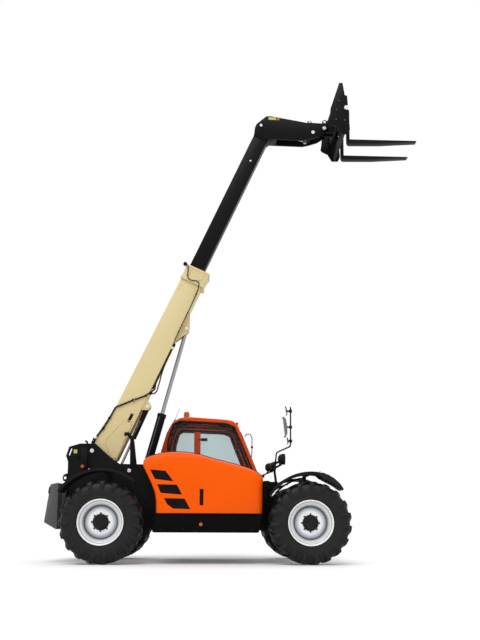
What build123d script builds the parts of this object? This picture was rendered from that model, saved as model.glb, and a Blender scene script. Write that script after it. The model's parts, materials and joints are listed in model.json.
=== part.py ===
from build123d import *
import math
import os

# Telescopic handler with a side engine, a left-hand cab and a two-section boom, in millimetres.
#
# +X points forwards, +Y to the machine's left, +Z up. Places are written from the middle of the
# wheelbase, on the ground; each piece is moved by SHIFT_X when it is written, so that the origin is
# the centre of the whole machine's base. Outlines in side view are lists of (x, z) corners.

# ---- driving dimensions ---------------------------------------------------------------------
SHIFT_X = -503                  # from the middle of the wheelbase to the centre of the base
WHEELBASE = 3010
AXLE_X = {"front": WHEELBASE / 2, "rear": -WHEELBASE / 2}
AXLE_Z = 600                    # axle height, which is the tyre's radius
TYRE_R = 600
TYRE_W = 400
TRACK_Y = 920                   # middle of each tyre
LUGS = 28                       # lugs round each tyre, on one shoulder and the other in turn
CARCASS = [(308.3, 145), (500, 196), (TYRE_R - 22, 150)]      # (distance from the axle, y)
CAVITY = [(308.3, 115), (TYRE_R - 60, 115)]
LUG_PLAN = [(5, -44), (5, -4), (205, 66), (205, 20)]          # (y, along the tread)
LUG_PROFILE = [(560, 0), (TYRE_R, 0), (TYRE_R, 156), (500, TYRE_W / 2), (470, 186), (545, 120)]
KINGPIN_Y = 800
RIM_R = 330                     # outside of the rim's flange
HUB_R = 112

RAIL_IN, RAIL_OUT = 190, 220    # the two frame plates
BOOM_DEG = 65.5                 # the boom's angle as it stands
PIVOT = (-1779, 1692)           # the boom's pivot pin
BOOM_W, BOOM_WALL = 300, 12
BOOM_BOTTOM = -395              # underside of the outer boom, from the pivot's line along the boom
BOOM_BACK, BOOM_TOP = -16, -44  # its upper side, behind and at the front
INNER_W, INNER_TOP, INNER_BOTTOM = 216, -73, -318
COLLAR_U = (3119, 3370)         # the outer boom's front collar, along the boom
INNER_U = (2930, 5890)          # the inner boom, along the boom
UNDER_OPEN_U = 965              # the outer boom is open below as far as this

DOUBLER = [(30, -300), (196, -128), (241, -105), (662, -229), (678, -354), (60, -380)]
HOSE_R = 11
HOSE_Y = 163                    # middle of a hose that lies on the boom's side
LIFT_FOOT, LIFT_EYE = (-1070, 1000), (-352, 3693)
SLAVE_FOOT, SLAVE_EYE = (-1355, 1450), (-945, 2408)
SLAVE_Y = -80
TILT_FOOT, TILT_EYE = (849, 7186), (1600, 6985)
CRANK_PIN, CRANK_TOP = (1721, 7086), (1676, 7310)
CARRIAGE_PIN, LINK_PIN = (1912, 7162), (1927, 7297)
HEAD_Y = 122                    # half the gooseneck's width
HEAD_PLATE = 28
CRANK_Y = (27, 47)              # the bell crank's plates
CARRIAGE_LUG_Y = (56, 84)
CARRIAGE_Y = 490
SHAFT = (2222, 7330)            # the round bar that carries the forks
FORK_Y = 280
FORK_TOP = 6870
REAR_TIE_DOWN = (-2182, 1272)   # lashing holes: across the tower's rear lugs
FRONT_TIE_DOWN = (120, 800)     # and along the machine through the front plate, as (y, z)
TIE_DOWN_R = 22

CAB_Y = (245, 1060)             # the cab's inner and outer side
CAB_WALL = 26
CAB_CORNER, CAB_EDGE = 90, 24   # rounding of its corners in side view, and of its outer edges
CAB_SIDE = [(-735, 780), (-735, 1746), (-634, 2089), (-559, 2224), (-436, 2288), (-265, 2301),
            (298, 2264), (422, 2242), (501, 2164), (800, 1431), (815, 1300), (815, 780)]
DOOR_SIDE = [(-450, 830), (-600, 1300), (-600, 1900), (-530, 2140), (-430, 2205), (298, 2175),
             (430, 2120), (690, 1480), (690, 1250), (560, 830)]
DOOR_HINGE = (-606, 1072)       # the door's upright hinge line, seen from above

HOOD_Y = (-1030, -345)          # the engine hood's outer and inner side
HOOD_WALL = 20
HOOD_CENTRE = (-400, 732)       # the hood's side view shrinks towards this point as it rounds over
HOOD_CROWN = [(0, 0.915), (20, 0.955), (55, 0.986), (110, 1)]   # (depth from its side, factor)
HANDLE = (-98, -44, 845, 1078)
HOOD_SIDE = [(-924, 1494), (-930, 1418), (-829, 1212), (-757, 1047), (-733, 910), (-730, 732),
             (809, 732), (828, 1255), (738, 1337), (625, 1386), (416, 1448), (134, 1516),
             (-103, 1584), (-286, 1617), (-524, 1622), (-689, 1600), (-870, 1543)]
VENTS = [[(-818, 1356), (-597, 1338), (-478, 1187), (-746, 1220)],
         [(-710, 1144), (-428, 1138), (-350, 995), (-661, 1021)],
         [(-611, 945), (-316, 939), (-231, 790), (-478, 796), (-562, 857)]]

parts = {}


# ---- helpers --------------------------------------------------------------------------------
def outline(*corners):
    """A flat face with straight sides."""
    return make_face(Polyline(*corners, close=True))


def slab(face, y0, y1):
    """A plate from y0 to y1 with the given side view."""
    return extrude(Pos(0, y1, 0) * (Plane.XZ * face), amount=y1 - y0)


def pin_y(centre, radius, y0, y1):
    """A round bar across the machine."""
    return Pos(centre[0], (y0 + y1) / 2, centre[1]) * (Rot(90, 0, 0) * Cylinder(radius, y1 - y0))


def block(x0, x1, y0, y1, z0, z1):
    """A box between two corners."""
    return Pos((x0 + x1) / 2, (y0 + y1) / 2, (z0 + z1) / 2) * Box(x1 - x0, y1 - y0, z1 - z0)


def both_sides(shape):
    """A shape and its mirror image on the machine's other side."""
    return shape + mirror(shape, Plane.XZ)


def distance(a, b):
    """Length between two points in side view."""
    return math.hypot(b[0] - a[0], b[1] - a[1])


def bar(a, b, radius, y, start, end):
    """A round bar along the line from point a to point b in side view, from start to end of it."""
    dx, dz = (b[0] - a[0]) / distance(a, b), (b[1] - a[1]) / distance(a, b)
    line = Plane(origin=(a[0] + dx * start, y, a[1] + dz * start), x_dir=(0, 1, 0), z_dir=(dx, 0, dz))
    return extrude(line * Circle(radius), amount=end - start)


def on_boom(u, v):
    """The side-view point that lies u along the boom and v above the pivot's line."""
    c, s = math.cos(math.radians(BOOM_DEG)), math.sin(math.radians(BOOM_DEG))
    return (PIVOT[0] + u * c - v * s, PIVOT[1] + u * s + v * c)


def boom_slab(corners, y0, y1):
    """A plate from y0 to y1 whose side view is given along and above the boom."""
    return slab(outline(*[on_boom(u, v) for u, v in corners]), y0, y1)


# ---- frame, axles and counterweight ---------------------------------------------------------
def frame():
    """Two full-length plates that rise to the boom's tower, with cross plates between them."""
    side = outline(
        (-2150, 560), (-2150, 1205), (-2205, 1225), (-2222, 1272), (-2205, 1318), (-2145, 1345),
        (-2145, 1518), (-2178, 1615), (-2133, 1754), (-1970, 1805), (-1735, 1807),
        (-1634, 1718), (-1454, 1562), (-1354, 1494), (-800, 1486), (-700, 1380), (-660, 1010),
        (1150, 1010), (1700, 900), (1800, 860), (1800, 620), (1660, 745), (1350, 745), (1300, 480),
        (-1300, 480), (-1350, 745), (-1660, 745), (-1700, 560))
    slot = outline((-2140, 1625), (-2105, 1730), (-2085, 1720), (-2120, 1615))
    plate = slab(side, RAIL_IN, RAIL_OUT) - slab(slot, RAIL_IN - 5, RAIL_OUT + 5)
    cross = [(-1300, 1300, 480, 500), (1770, 1800, 650, 860), (-2145, -2115, 560, 1200),
             (-1350, -1320, 745, 1150), (860, 890, 500, 900), (-2145, -1320, 745, 765),
             (1350, 1770, 745, 765)]
    body = both_sides(plate)
    for x0, x1, z0, z1 in cross:
        body += block(x0, x1, -RAIL_IN, RAIL_IN, z0, z1)
    body += both_sides(pin_y(PIVOT, 42, RAIL_IN, RAIL_OUT + 8))
    body += both_sides(pin_y(LIFT_FOOT, 45, 44, RAIL_IN))
    lug = outline((-1350, 1100), (-1320, 1100), (-1310, 1445), (-1335, 1488), (-1375, 1488),
                  (-1398, 1450), (-1392, 1410), (-1350, 1300))
    for y in (SLAVE_Y - 53, SLAVE_Y + 43):
        body += slab(lug, y, y + 10)
    prop = outline((-1190, 1440), (-1080, 1440), (-1128, 1839), (-1150, 1900), (-1215, 1985),
                   (-1283, 1985), (-1292, 1931), (-1235, 1931), (-1198, 1880), (-1195, 1830))
    body += slab(prop, -RAIL_OUT - 16, -RAIL_OUT)
    body += bar((-1797, 1402), (-1861, 1838), 14, -RAIL_OUT - 10, 0, 440)
    for boss in ((-1198, 1389), (-1990, 1600)):
        body += pin_y(boss, 26, -RAIL_OUT - 26, -RAIL_OUT + 5)
    y, z = FRONT_TIE_DOWN
    bore = Pos(1785, y, z) * (Rot(0, 90, 0) * Cylinder(TIE_DOWN_R, 60))
    return body - pin_y(REAR_TIE_DOWN, TIE_DOWN_R, -RAIL_OUT - 5, RAIL_OUT + 5) - both_sides(bore)


def counterweight():
    """Cast weight behind the rear axle, narrow beside the wheels and wide behind them."""
    wide = outline((-2329, 1155), (-2406, 594), (-2228, 491), (-2200, 491), (-2200, 1178))
    narrow = outline((-2200, 491), (-2200, 1178), (-2150, 1190), (-2150, 491))
    casting = slab(wide, -620, 620)
    corners = [e for e in casting.edges() if abs(e.center().Y) > 600 and e.center().X < -2300]
    return chamfer(corners, 45) + slab(narrow, -360, 360)


def axle(end):
    """Steering axle: a centre housing with two arms, each ending in a yoke for its kingpin."""
    x = AXLE_X[end]
    line = (x, AXLE_Z)
    housing = pin_y(line, 140, -140, 140)
    arm = pin_y(line, 85, 130, 690)
    yoke = block(x - 65, x + 65, 655, 700, AXLE_Z - 160, AXLE_Z + 160)
    top = block(x - 60, x + 60, 690, 850, AXLE_Z + 125, AXLE_Z + 155)
    bottom = block(x - 60, x + 60, 690, 850, AXLE_Z - 155, AXLE_Z - 125)
    pad = block(x - 140, x + 140, -RAIL_OUT, RAIL_OUT, AXLE_Z, 745)
    return housing + both_sides(arm + yoke + top + bottom) + pad


def knuckle(end, side):
    """Swivel body between the yoke's lugs, with the spindle that carries the wheel."""
    x = AXLE_X[end]
    post = Pos(x, side * KINGPIN_Y, AXLE_Z) * Cylinder(62, 244)
    spindle = pin_y((x, AXLE_Z), 60, *sorted((side * KINGPIN_Y, side * (TRACK_Y - 12))))
    return post + spindle


# ---- wheels ---------------------------------------------------------------------------------
def tyre():
    """Lugged tyre about the Y axis: flat sectors of its hollow section, with a lug on each."""
    section = (CARCASS + [(n, -y) for n, y in reversed(CARCASS)]
               + [(n, -y) for n, y in CAVITY] + [(n, y) for n, y in reversed(CAVITY)])
    spread = 700 * math.tan(math.pi / LUGS)
    wedge = slab(outline((0, 0), (700, -spread), (700, spread)), -TYRE_W, TYRE_W)
    sector = extrude(outline(*section), amount=90, both=True) & wedge
    lug = extrude(Plane.YZ.offset(440) * outline(*LUG_PLAN), amount=200)
    lug &= extrude(outline(*LUG_PROFILE), amount=80, both=True)
    pair = (lug, mirror(lug, Plane.XZ))
    turns = [Rot(0, 360 * i / LUGS, 0) for i in range(LUGS)]
    carcass = turns[0] * sector + [turn * sector for turn in turns[1:]]
    return carcass + [turn * pair[i % 2] for i, turn in enumerate(turns)]


def rim():
    """Rim about the Y axis: two flanges, a well and a dished disc with its hub, as (radius, y)."""
    half = TYRE_W / 2
    edge = [(RIM_R - 23, half - 58), (RIM_R - 22, half - 55), (RIM_R, half - 36),
            (RIM_R, half - 24), (RIM_R - 14, half - 24), (RIM_R - 38, half - 62)]
    dish = [(262, half - 66), (238, half - 120), (150, half - 96), (HUB_R, half - 96),
            (HUB_R, half - 64), (90, half - 52), (0, half - 52), (0, 0), (HUB_R - 30, 0),
            (HUB_R - 30, half - 112), (150, half - 112), (242, half - 134)]
    return revolve(outline(*edge, *dish, *[(r, -y) for r, y in reversed(edge)]), Axis.Y)


def on_wheel(shape, end, side):
    """A wheel's piece set on its axle, mirrored on the right."""
    place = Pos(AXLE_X[end], TRACK_Y, AXLE_Z) * shape
    return place if side > 0 else mirror(place, Plane.XZ)


# ---- mudguards ------------------------------------------------------------------------------
def arch(centre, r0, r1, start, stop):
    """Side view of a curved strip between two angles, in degrees from straight ahead."""
    def at(radius, deg):
        return (centre[0] + radius * math.cos(math.radians(deg)),
                centre[1] + radius * math.sin(math.radians(deg)))
    middle = (start + stop) / 2
    edges = [ThreePointArc(at(r1, start), at(r1, middle), at(r1, stop)),
             Line(at(r1, stop), at(r0, stop)),
             ThreePointArc(at(r0, stop), at(r0, middle), at(r0, start)),
             Line(at(r0, start), at(r1, start))]
    return make_face(edges)


def fenders(end, centre, radius, start, stop):
    """A pair of mudguards, each with its stay from the frame."""
    x = AXLE_X[end]
    top = centre[1] + radius
    guard = slab(arch(centre, radius, radius + 24, start, stop), 730, 1110)
    for y in (730, 1090):
        guard += slab(arch(centre, radius - 8, radius + 34, start, stop), y, y + 20)
    stay = block(x - 30, x + 30, RAIL_OUT, 760, top - 4, top + 16)
    post = block(x - 30, x + 30, RAIL_OUT, RAIL_OUT + 30, 790, top + 16)
    return both_sides(guard + stay + post)


# ---- boom -----------------------------------------------------------------------------------
def boom_outer():
    """Outer boom: a box section, open below at its foot, with lugs for its cylinders."""
    half = BOOM_W / 2
    side = [(-80, -150), (-60, BOOM_BOTTOM + 90), (40, BOOM_BOTTOM), (COLLAR_U[0], BOOM_BOTTOM),
            (COLLAR_U[0], BOOM_TOP), (795, BOOM_BACK), (110, 83), (-40, 83), (-80, 40)]
    inside = [(130, BOOM_BOTTOM + BOOM_WALL), (COLLAR_U[0] + 20, BOOM_BOTTOM + BOOM_WALL),
              (COLLAR_U[0] + 20, BOOM_TOP - BOOM_WALL), (795, BOOM_BACK - BOOM_WALL),
              (130, 60)]
    below = [(-200, BOOM_BOTTOM - 20), (UNDER_OPEN_U, BOOM_BOTTOM - 20),
             (UNDER_OPEN_U, BOOM_BOTTOM + 60), (130, -130), (-200, -130)]
    body = boom_slab(side, -half, half)
    body -= boom_slab(inside, -half + BOOM_WALL, half - BOOM_WALL)
    body -= boom_slab(below, -half + BOOM_WALL, half - BOOM_WALL)
    lift_lug = boom_slab([(2150, BOOM_BOTTOM), (2330, -500), (2400, -520), (2460, -500),
                          (2700, BOOM_BOTTOM)], 48, 74)
    slave_lug = [(890, BOOM_BOTTOM + 40), (950, -500), (1000, -515), (1040, -500),
                 (1140, BOOM_BOTTOM + 40)]
    body += both_sides(lift_lug + pin_y(LIFT_EYE, 34, 48, 86))
    for y in (SLAVE_Y - 58, SLAVE_Y + 44):
        body += boom_slab(slave_lug, y, y + 14)
    body += both_sides(pin_y(PIVOT, 62, half - BOOM_WALL, RAIL_IN - 4))
    return body + both_sides(boom_slab(DOUBLER, half - 2, half + 4))


def boom_hoses():
    """Hoses under the boom, one of which crosses its side and runs down its upper edge."""
    half = BOOM_W / 2
    under = BOOM_BOTTOM - HOSE_R - 3

    def at(u, v, y):
        """A point along, above and beside the boom."""
        x, z = on_boom(u, v)
        return (x, y, z)

    def hose(*points):
        """A hose through the points, with its corners bent."""
        path = FilletPolyline(*[at(*point) for point in points], radius=34)
        return sweep(Plane(origin=path @ 0, z_dir=path % 0) * Circle(HOSE_R), path=path)

    crossing = hose((2050, under, -135), (1330, under, -135), (1210, under, -HOSE_Y),
                    (1061, -357, -HOSE_Y), (944, -149, -HOSE_Y), (800, 0, -HOSE_Y),
                    (640, 20, -HOSE_Y), (190, 60, -HOSE_Y))
    straight = bar(on_boom(2050, under), on_boom(1230, under), HOSE_R, -105, 0, 820)
    fittings = boom_slab([(2040, BOOM_BOTTOM), (2040, under - 22), (2090, under - 22),
                          (2090, BOOM_BOTTOM)], -160, -85)
    fittings += boom_slab([(1190, BOOM_BOTTOM), (1190, under - 22), (1240, under - 22),
                           (1240, BOOM_BOTTOM)], -130, -85)
    for u, v in ((1061, -357), (944, -149), (420, 40)):
        fittings += boom_slab([(u - 14, v - 20), (u + 14, v - 20), (u + 14, v + 20), (u - 14, v + 20)],
                              -HOSE_Y - 14, -half)
    fittings += boom_slab([(120, 35), (196, 35), (196, 80), (120, 80)], -HOSE_Y - 14, -half)
    for u in (1500, 1800):
        fittings += boom_slab([(u - 14, under - 14), (u + 14, under - 14), (u + 14, BOOM_BOTTOM),
                               (u - 14, BOOM_BOTTOM)], -150, -90)
    return crossing + straight + fittings


def boom_collar():
    """Thicker front end of the outer boom, which holds the slide pads."""
    u0, u1 = COLLAR_U
    half = BOOM_W / 2 + 28
    shell = boom_slab([(u0, BOOM_BOTTOM - 14), (u1, BOOM_BOTTOM - 34), (u1, BOOM_TOP - 1),
                       (u0 + 30, BOOM_TOP + 6), (u0, BOOM_TOP)], -half, half)
    bore = boom_slab([(u0 - 20, INNER_BOTTOM - 3), (u1 + 20, INNER_BOTTOM - 3),
                      (u1 + 20, INNER_TOP + 3), (u0 - 20, INNER_TOP + 3)],
                     -INNER_W / 2 - 3, INNER_W / 2 + 3)
    knob = pin_y(on_boom(u1 - 34, BOOM_TOP - 4), 30, -80, 80)
    bands = [boom_slab([(u, BOOM_BOTTOM - 42), (u + 34, BOOM_BOTTOM - 42), (u + 34, BOOM_TOP + 16),
                        (u, BOOM_TOP + 16)], -half - 6, half + 6) for u in (u0 + 6, u1 - 34)]
    return shell + knob + bands - bore


def boom_inner():
    """Inner boom: a box section that slides in the outer one."""
    u0, u1 = INNER_U
    half = INNER_W / 2
    tube = boom_slab([(u0, INNER_BOTTOM), (u1, INNER_BOTTOM), (u1, INNER_TOP), (u0, INNER_TOP)],
                     -half, half)
    bottom, top = INNER_BOTTOM + BOOM_WALL, INNER_TOP - BOOM_WALL
    bore = boom_slab([(u0 - 20, bottom), (u1 + 20, bottom), (u1 + 20, top), (u0 - 20, top)],
                     -half + BOOM_WALL, half - BOOM_WALL)
    return tube - bore


def boom_head():
    """Gooseneck: two side plates with a back and a top, open below for the tilt cylinder."""
    foot_low, foot_high = on_boom(INNER_U[1], INNER_BOTTOM), on_boom(INNER_U[1], INNER_TOP)
    side = outline(foot_high, (744, 7142), (772, 7214), (937, 7358), (1014, 7360), (1603, 7262),
                   (1800, 7232), (1950, 7215), (1978, 7170), (1965, 7110), (1900, 7075),
                   (1823, 7020), (1690, 6975), (1571, 6945), (1000, 6955), foot_low)
    cavity = offset(side, -14)
    nose = outline((1500, 7320), (2060, 7320), (2060, 6900), (1100, 6900), (1130, 7010), (1500, 7100))
    inner_y = HEAD_Y - HEAD_PLATE
    body = slab(side, -HEAD_Y, HEAD_Y) - slab(cavity, -inner_y, inner_y)
    body -= slab(nose, -inner_y, inner_y)
    pins = pin_y(CRANK_PIN, 34, CRANK_Y[1] + 6, HEAD_Y + 10) + pin_y(TILT_FOOT, 28, 46, HEAD_Y + 10)
    pins += pin_y(CARRIAGE_PIN, 38, CARRIAGE_LUG_Y[1] + 2, HEAD_Y + 12)
    return body + both_sides(pins)


# ---- carriage and forks ---------------------------------------------------------------------
def carriage():
    """Fork frame: two side plates, cross bars and the two lugs that hang it on the boom's nose."""
    side = outline((2110, 7770), (2166, 7770), (2201, 7556), (2239, 7547), (2277, 6960),
                   (2240, 6878), (2130, 6878), (2060, 7000), (1975, 7040), (1935, 7077),
                   (1951, 7178), (1963, 7318))
    body = both_sides(slab(side, CARRIAGE_Y - 25, CARRIAGE_Y))
    inner = CARRIAGE_Y - 25
    for x0, x1, z0, z1 in [(2110, 2150, 7690, 7770), (2150, 2200, 6890, 7020),
                           (2075, 2115, 7110, 7310)]:
        body += block(x0, x1, -inner, inner, z0, z1)
    body += pin_y(SHAFT, 26, -CARRIAGE_Y - 12, CARRIAGE_Y + 12)
    lug = outline((1870, 7150), (1885, 7125), (1912, 7115), (2090, 7115), (2090, 7305), (1965, 7325),
                  (1927, 7340), (1890, 7320), (1882, 7290))
    body += both_sides(slab(lug, *CARRIAGE_LUG_Y) + pin_y(LINK_PIN, 30, 27, CARRIAGE_LUG_Y[0]))
    return body


def forks():
    """Two L-shaped forks with tapering blades, each with an eye that hangs on the shaft."""
    pair = []
    back = SHAFT[0] + 36
    for y in (FORK_Y, -FORK_Y):
        blade = outline((back + 42, FORK_TOP), (3412, FORK_TOP), (3412, 6858), (2800, 6812), (back + 42, 6800),
                        (back + 12, 6812), (back, 6845), (back, 7380), (back + 42, 7380))
        eye = pin_y(SHAFT, 52, y - 50, y + 50) + block(SHAFT[0], back + 4, y - 50, y + 50, 7290, 7370)
        pair.append(slab(blade, y - 55, y + 55) + eye - pin_y(SHAFT, 26, y - 60, y + 60))
    return pair[0] + pair[1]


# ---- cylinders and linkage ------------------------------------------------------------------
def cylinder(foot, eye, y, barrel_r, barrel_len, rod_r, rod_start, half, gland=0):
    """A hydraulic cylinder in two pieces: the hollow barrel with its foot, the rod with its eye."""
    foot_r, eye_r = barrel_r + 2, rod_r + 15
    barrel = bar(foot, eye, barrel_r, y, foot_r - 14, barrel_len)
    barrel += pin_y(foot, foot_r, y - half, y + half)
    if gland:
        barrel += bar(foot, eye, barrel_r + gland, y, barrel_len - 60, barrel_len)
    barrel -= bar(foot, eye, rod_r + 0.5, y, foot_r + 15, barrel_len + 5)
    rod = bar(foot, eye, rod_r, y, rod_start, distance(foot, eye))
    rod += pin_y(eye, eye_r, y - half, y + half)
    return barrel, rod


def crank():
    """Bell crank in the boom's head: two plates joined by the boss on its pin."""
    plate = outline((CRANK_TOP[0] - 36, CRANK_TOP[1] + 20), (CRANK_TOP[0] + 26, CRANK_TOP[1] + 28),
                    (CRANK_PIN[0] + 48, CRANK_PIN[1] + 10), (CRANK_PIN[0] + 20, CRANK_PIN[1] - 48),
                    (TILT_EYE[0] + 12, TILT_EYE[1] - 38), (TILT_EYE[0] - 36, TILT_EYE[1] - 10),
                    (CRANK_PIN[0] - 50, CRANK_PIN[1] + 10))
    body = both_sides(slab(plate, *CRANK_Y) + pin_y(CRANK_TOP, 26, 22, CRANK_Y[1] + 8))
    return body + pin_y(CRANK_PIN, 42, -CRANK_Y[1] - 4, CRANK_Y[1] + 4)


def tilt_link():
    """Straight link from the crank's top to the carriage."""
    body = bar(CRANK_TOP, LINK_PIN, 18, 0, 10, distance(CRANK_TOP, LINK_PIN) - 10)
    return body + pin_y(CRANK_TOP, 32, -20, 20) + pin_y(LINK_PIN, 32, -20, 20)


# ---- engine side ----------------------------------------------------------------------------
def crowned(face, first):
    """A body along Y from the side view first millimetres in, rounded over as HOOD_CROWN gives."""
    steps = [(first + depth, factor) for depth, factor in HOOD_CROWN] + [(HOOD_Y[1] + 5, 1)]
    sections = [Pos(0, y, 0) * (Plane.XZ * scale(face, by=k, about=HOOD_CENTRE)) for y, k in steps]
    return loft(sections, ruled=True)


def hood():
    """Engine cover: one moulded shell with a crowned side, open below and towards the boom."""
    side = outline(*HOOD_SIDE)
    shell = crowned(side, HOOD_Y[0]) & block(-1000, 900, *HOOD_Y, 600, 1700)
    inner = crowned(offset(side, -HOOD_WALL), HOOD_Y[0] + HOOD_WALL)
    shell -= inner
    shell -= block(-706, 785, HOOD_Y[0] + 4 * HOOD_WALL, HOOD_Y[1] + 5, 700, 760)
    for vent in VENTS:
        shell -= slab(outline(*vent), HOOD_Y[0] - 10, HOOD_Y[0] + HOOD_WALL + 5)
    x0, x1, z0, z1 = HANDLE
    return shell - block(x0, x1, HOOD_Y[0] - 10, HOOD_Y[0] + HOOD_WALL + 5, z0, z1)


def hood_grilles():
    """A louvred plate behind each vent, and the handle in its recess."""
    y0 = HOOD_Y[0] + HOOD_WALL
    plates = [slab(offset(outline(*vent), 8), y0, y0 + 8) for vent in VENTS]
    x0, x1, z0, z1 = HANDLE
    plates.append(block(x0 - 12, x1 + 12, y0, y0 + 8, z0 - 12, z1 + 12))
    plates.append(block(x0 + 10, x1 - 10, HOOD_Y[0] + 3, y0 + 4, z0 + 25, z1 - 25))
    for vent in VENTS:
        opening = offset(outline(*vent), -4)
        heights = [z for _, z in vent]
        for z in range(min(heights) + 12, max(heights) - 12, 28):
            strip = outline((-1000, z), (0, z), (0, z + 9), (-1000, z + 9))
            plates.append(slab(strip & opening, y0 - 12, y0 + 4))
    return plates[0] + plates[1:]


def engine_sill():
    """Black side tray under the hood, with the bulkhead between the engine and the boom."""
    side = outline((-732, 724), (-775, 470), (-750, 455), (745, 455), (763, 470), (809, 724))
    inner = offset(side, -16) + outline((-715, 700), (790, 700), (790, 760), (-715, 760))
    tray = slab(side, -1000, HOOD_Y[1]) - slab(inner, -984, HOOD_Y[1] - 16)
    wall = offset(outline(*HOOD_SIDE), -HOOD_WALL - 8) + outline((-690, 700), (770, 700), (770, 800),
                                                                 (-690, 800))
    stays = block(-500, -400, HOOD_Y[1] - 16, -RAIL_OUT, 520, 620)
    stays += block(400, 500, HOOD_Y[1] - 16, -RAIL_OUT, 520, 620)
    lip_y = HOOD_Y[1] + 3
    above = outline((-1000, 1400), (0, 1400), (900, 1180), (900, 1700), (-1000, 1700))
    seal = (offset(outline(*HOOD_SIDE), 20) - offset(outline(*HOOD_SIDE), -40)) & above
    nose = outline((835, 960), (868, 960), (880, 1010), (935, 1100), (935, 1180), (905, 1205),
                   (835, 1205))
    bulkhead = slab(wall, HOOD_Y[1] - 16, lip_y + 14) + slab(seal, lip_y, lip_y + 14)
    carrier = block(600, 840, lip_y, lip_y + 14, 970, 1195)
    return tray + bulkhead + stays + slab(nose, -1000, lip_y + 14) + carrier


# ---- cab ------------------------------------------------------------------------------------
def cab_window_box():
    """The spaces cut through the cab's front, rear and roof, as one shape."""
    y0, y1 = CAB_Y[0] + 70, CAB_Y[1] - 70
    ends = [block(430, 1000, y0, y1, 1290, 2070), block(-900, -560, y0, y1, 1290, 2060)]
    ends = [fillet(end.edges().filter_by(Axis.X), 50) for end in ends]
    return ends[0] + ends[1] + block(-340, 200, y0 + 30, y1 - 30, 2200, 2400)


def cab_side_window():
    """Side view of the window towards the boom."""
    pane = outline((-636, 1380), (-631, 1903), (-551, 2175), (-435, 2230), (298, 2195), (439, 2140),
                   (735, 1440), (735, 1380))
    return fillet(pane.vertices(), 45)


def cab_body():
    """The cab's solid outer form, with its pillars' and roof's outer edges rounded."""
    side = outline(*CAB_SIDE)
    side = fillet([v for v in side.vertices() if v.Y > 1250], CAB_CORNER)
    body = slab(side, *CAB_Y)
    edges = [e for e in body.edges() if e.center().Z > CAB_SIDE[0][1] + 1
             and min(abs(e.center().Y - y) for y in CAB_Y) < 1]
    return fillet(edges, CAB_EDGE)


def cab():
    """Cab frame: a hollow shell with its windows and its doorway cut."""
    y_in, y_out = CAB_Y
    side = outline(*CAB_SIDE)
    shell = cab_body()
    shell -= slab(offset(side, -CAB_WALL), y_in + CAB_WALL, y_out - CAB_WALL)
    shell -= slab(cab_side_window(), y_in - 5, y_in + CAB_WALL + 5)
    shell -= slab(outline(*DOOR_SIDE), y_out - CAB_WALL - 5, y_out + 5)
    stays = block(-560, -460, RAIL_OUT, y_in, 800, 900) + block(460, 560, RAIL_OUT, y_in, 800, 900)
    return shell - cab_window_box() + stays


def cab_glazing():
    """Fixed panes of the cab: front, rear, roof and the side towards the boom."""
    side = outline(*CAB_SIDE)
    sheet = slab(offset(side, -12) - offset(side, -18), *CAB_Y)
    return (sheet & cab_window_box()) + slab(cab_side_window(), CAB_Y[0] + 12, CAB_Y[0] + 18)


def cab_door():
    """Door frame and its lower panel, with a hinge knuckle at the top and the bottom."""
    y1 = CAB_Y[1]
    panel = offset(outline(*DOOR_SIDE), -6)
    body = slab(panel, y1 - CAB_WALL, y1)
    window = offset(outline(*DOOR_SIDE), -60) & outline((-700, 1290), (800, 1290), (800, 2300),
                                                        (-700, 2300))
    glass = slab(window, y1 - CAB_WALL / 2 - 3, y1 - CAB_WALL / 2 + 3)
    body -= slab(window, y1 - CAB_WALL - 5, y1 + 5)
    for z in (1380, 1820):
        body += Pos(*DOOR_HINGE, z) * Cylinder(9, 60)
        body += block(-606, -560, y1 + 3, y1 + 14, z - 25, z + 25)
        body += block(-590, -560, y1 - 4, y1 + 4, z - 25, z + 25)
    return body, glass


def cab_seat():
    """Driver's seat: a base box, a cushion and a backrest in one shape."""
    middle = sum(CAB_Y) / 2
    base = block(-430, -130, middle - 170, middle + 170, CAB_SIDE[0][1] + CAB_WALL, 1120)
    cushion = block(-480, -40, middle - 240, middle + 240, 1120, 1230)
    back = slab(outline((-480, 1230), (-380, 1230), (-450, 1780), (-540, 1760)),
                middle - 225, middle + 225)
    return base + cushion + back


def cab_controls():
    """Steering column with its wheel, standing on the cab's floor."""
    middle = sum(CAB_Y) / 2
    floor = CAB_SIDE[0][1] + CAB_WALL
    column = slab(outline((470, floor), (600, floor), (425, 1400), (372, 1424), (356, 1390)),
                  middle - 60, middle + 60)
    tilt = Pos(380, middle, 1405) * Rot(0, -32, 0)
    ring = RegularPolygon(180, 24) - RegularPolygon(152, 24)
    hoop = tilt * Pos(0, 0, -13) * extrude(ring, amount=26)
    spoke = tilt * Box(330, 36, 16) + tilt * Box(36, 330, 16)
    return column + hoop + spoke


def cab_fittings():
    """Grab tube on the front pillar, lamp at the roof's front corner and aerial on the roof."""
    y = CAB_Y[0] + 40
    path = FilletPolyline((640, y, 1700), (730, y, 1745), (730, y, 1966), (540, y, 2030), radius=30)
    tube = sweep(Plane(origin=path @ 0, z_dir=path % 0) * Circle(11), path=path)
    lamp = slab(outline((400, 2200), (530, 2150), (552, 2205), (420, 2285)), y + 20, y + 110)
    aerial = bar((-545, 2240), (-462, 2457), 5, CAB_Y[0] + 160, 0, 232)
    foot = bar((-545, 2240), (-462, 2457), 14, CAB_Y[0] + 160, 0, 60)
    return tube + lamp + aerial + foot - cab_body()


def left_tank():
    """Tank under the cab's left side, with the access step hollowed into it."""
    side = outline((-700, 770), (-700, 500), (-655, 455), (645, 455), (690, 500), (690, 770))
    box = slab(side, RAIL_OUT, 1050)
    box = chamfer([e for e in box.edges() if e.center().Y > 1045 and e.center().Z < 765], 25)
    step = block(-230, 210, 850, 1100, 500, 720)
    return box - step


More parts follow.
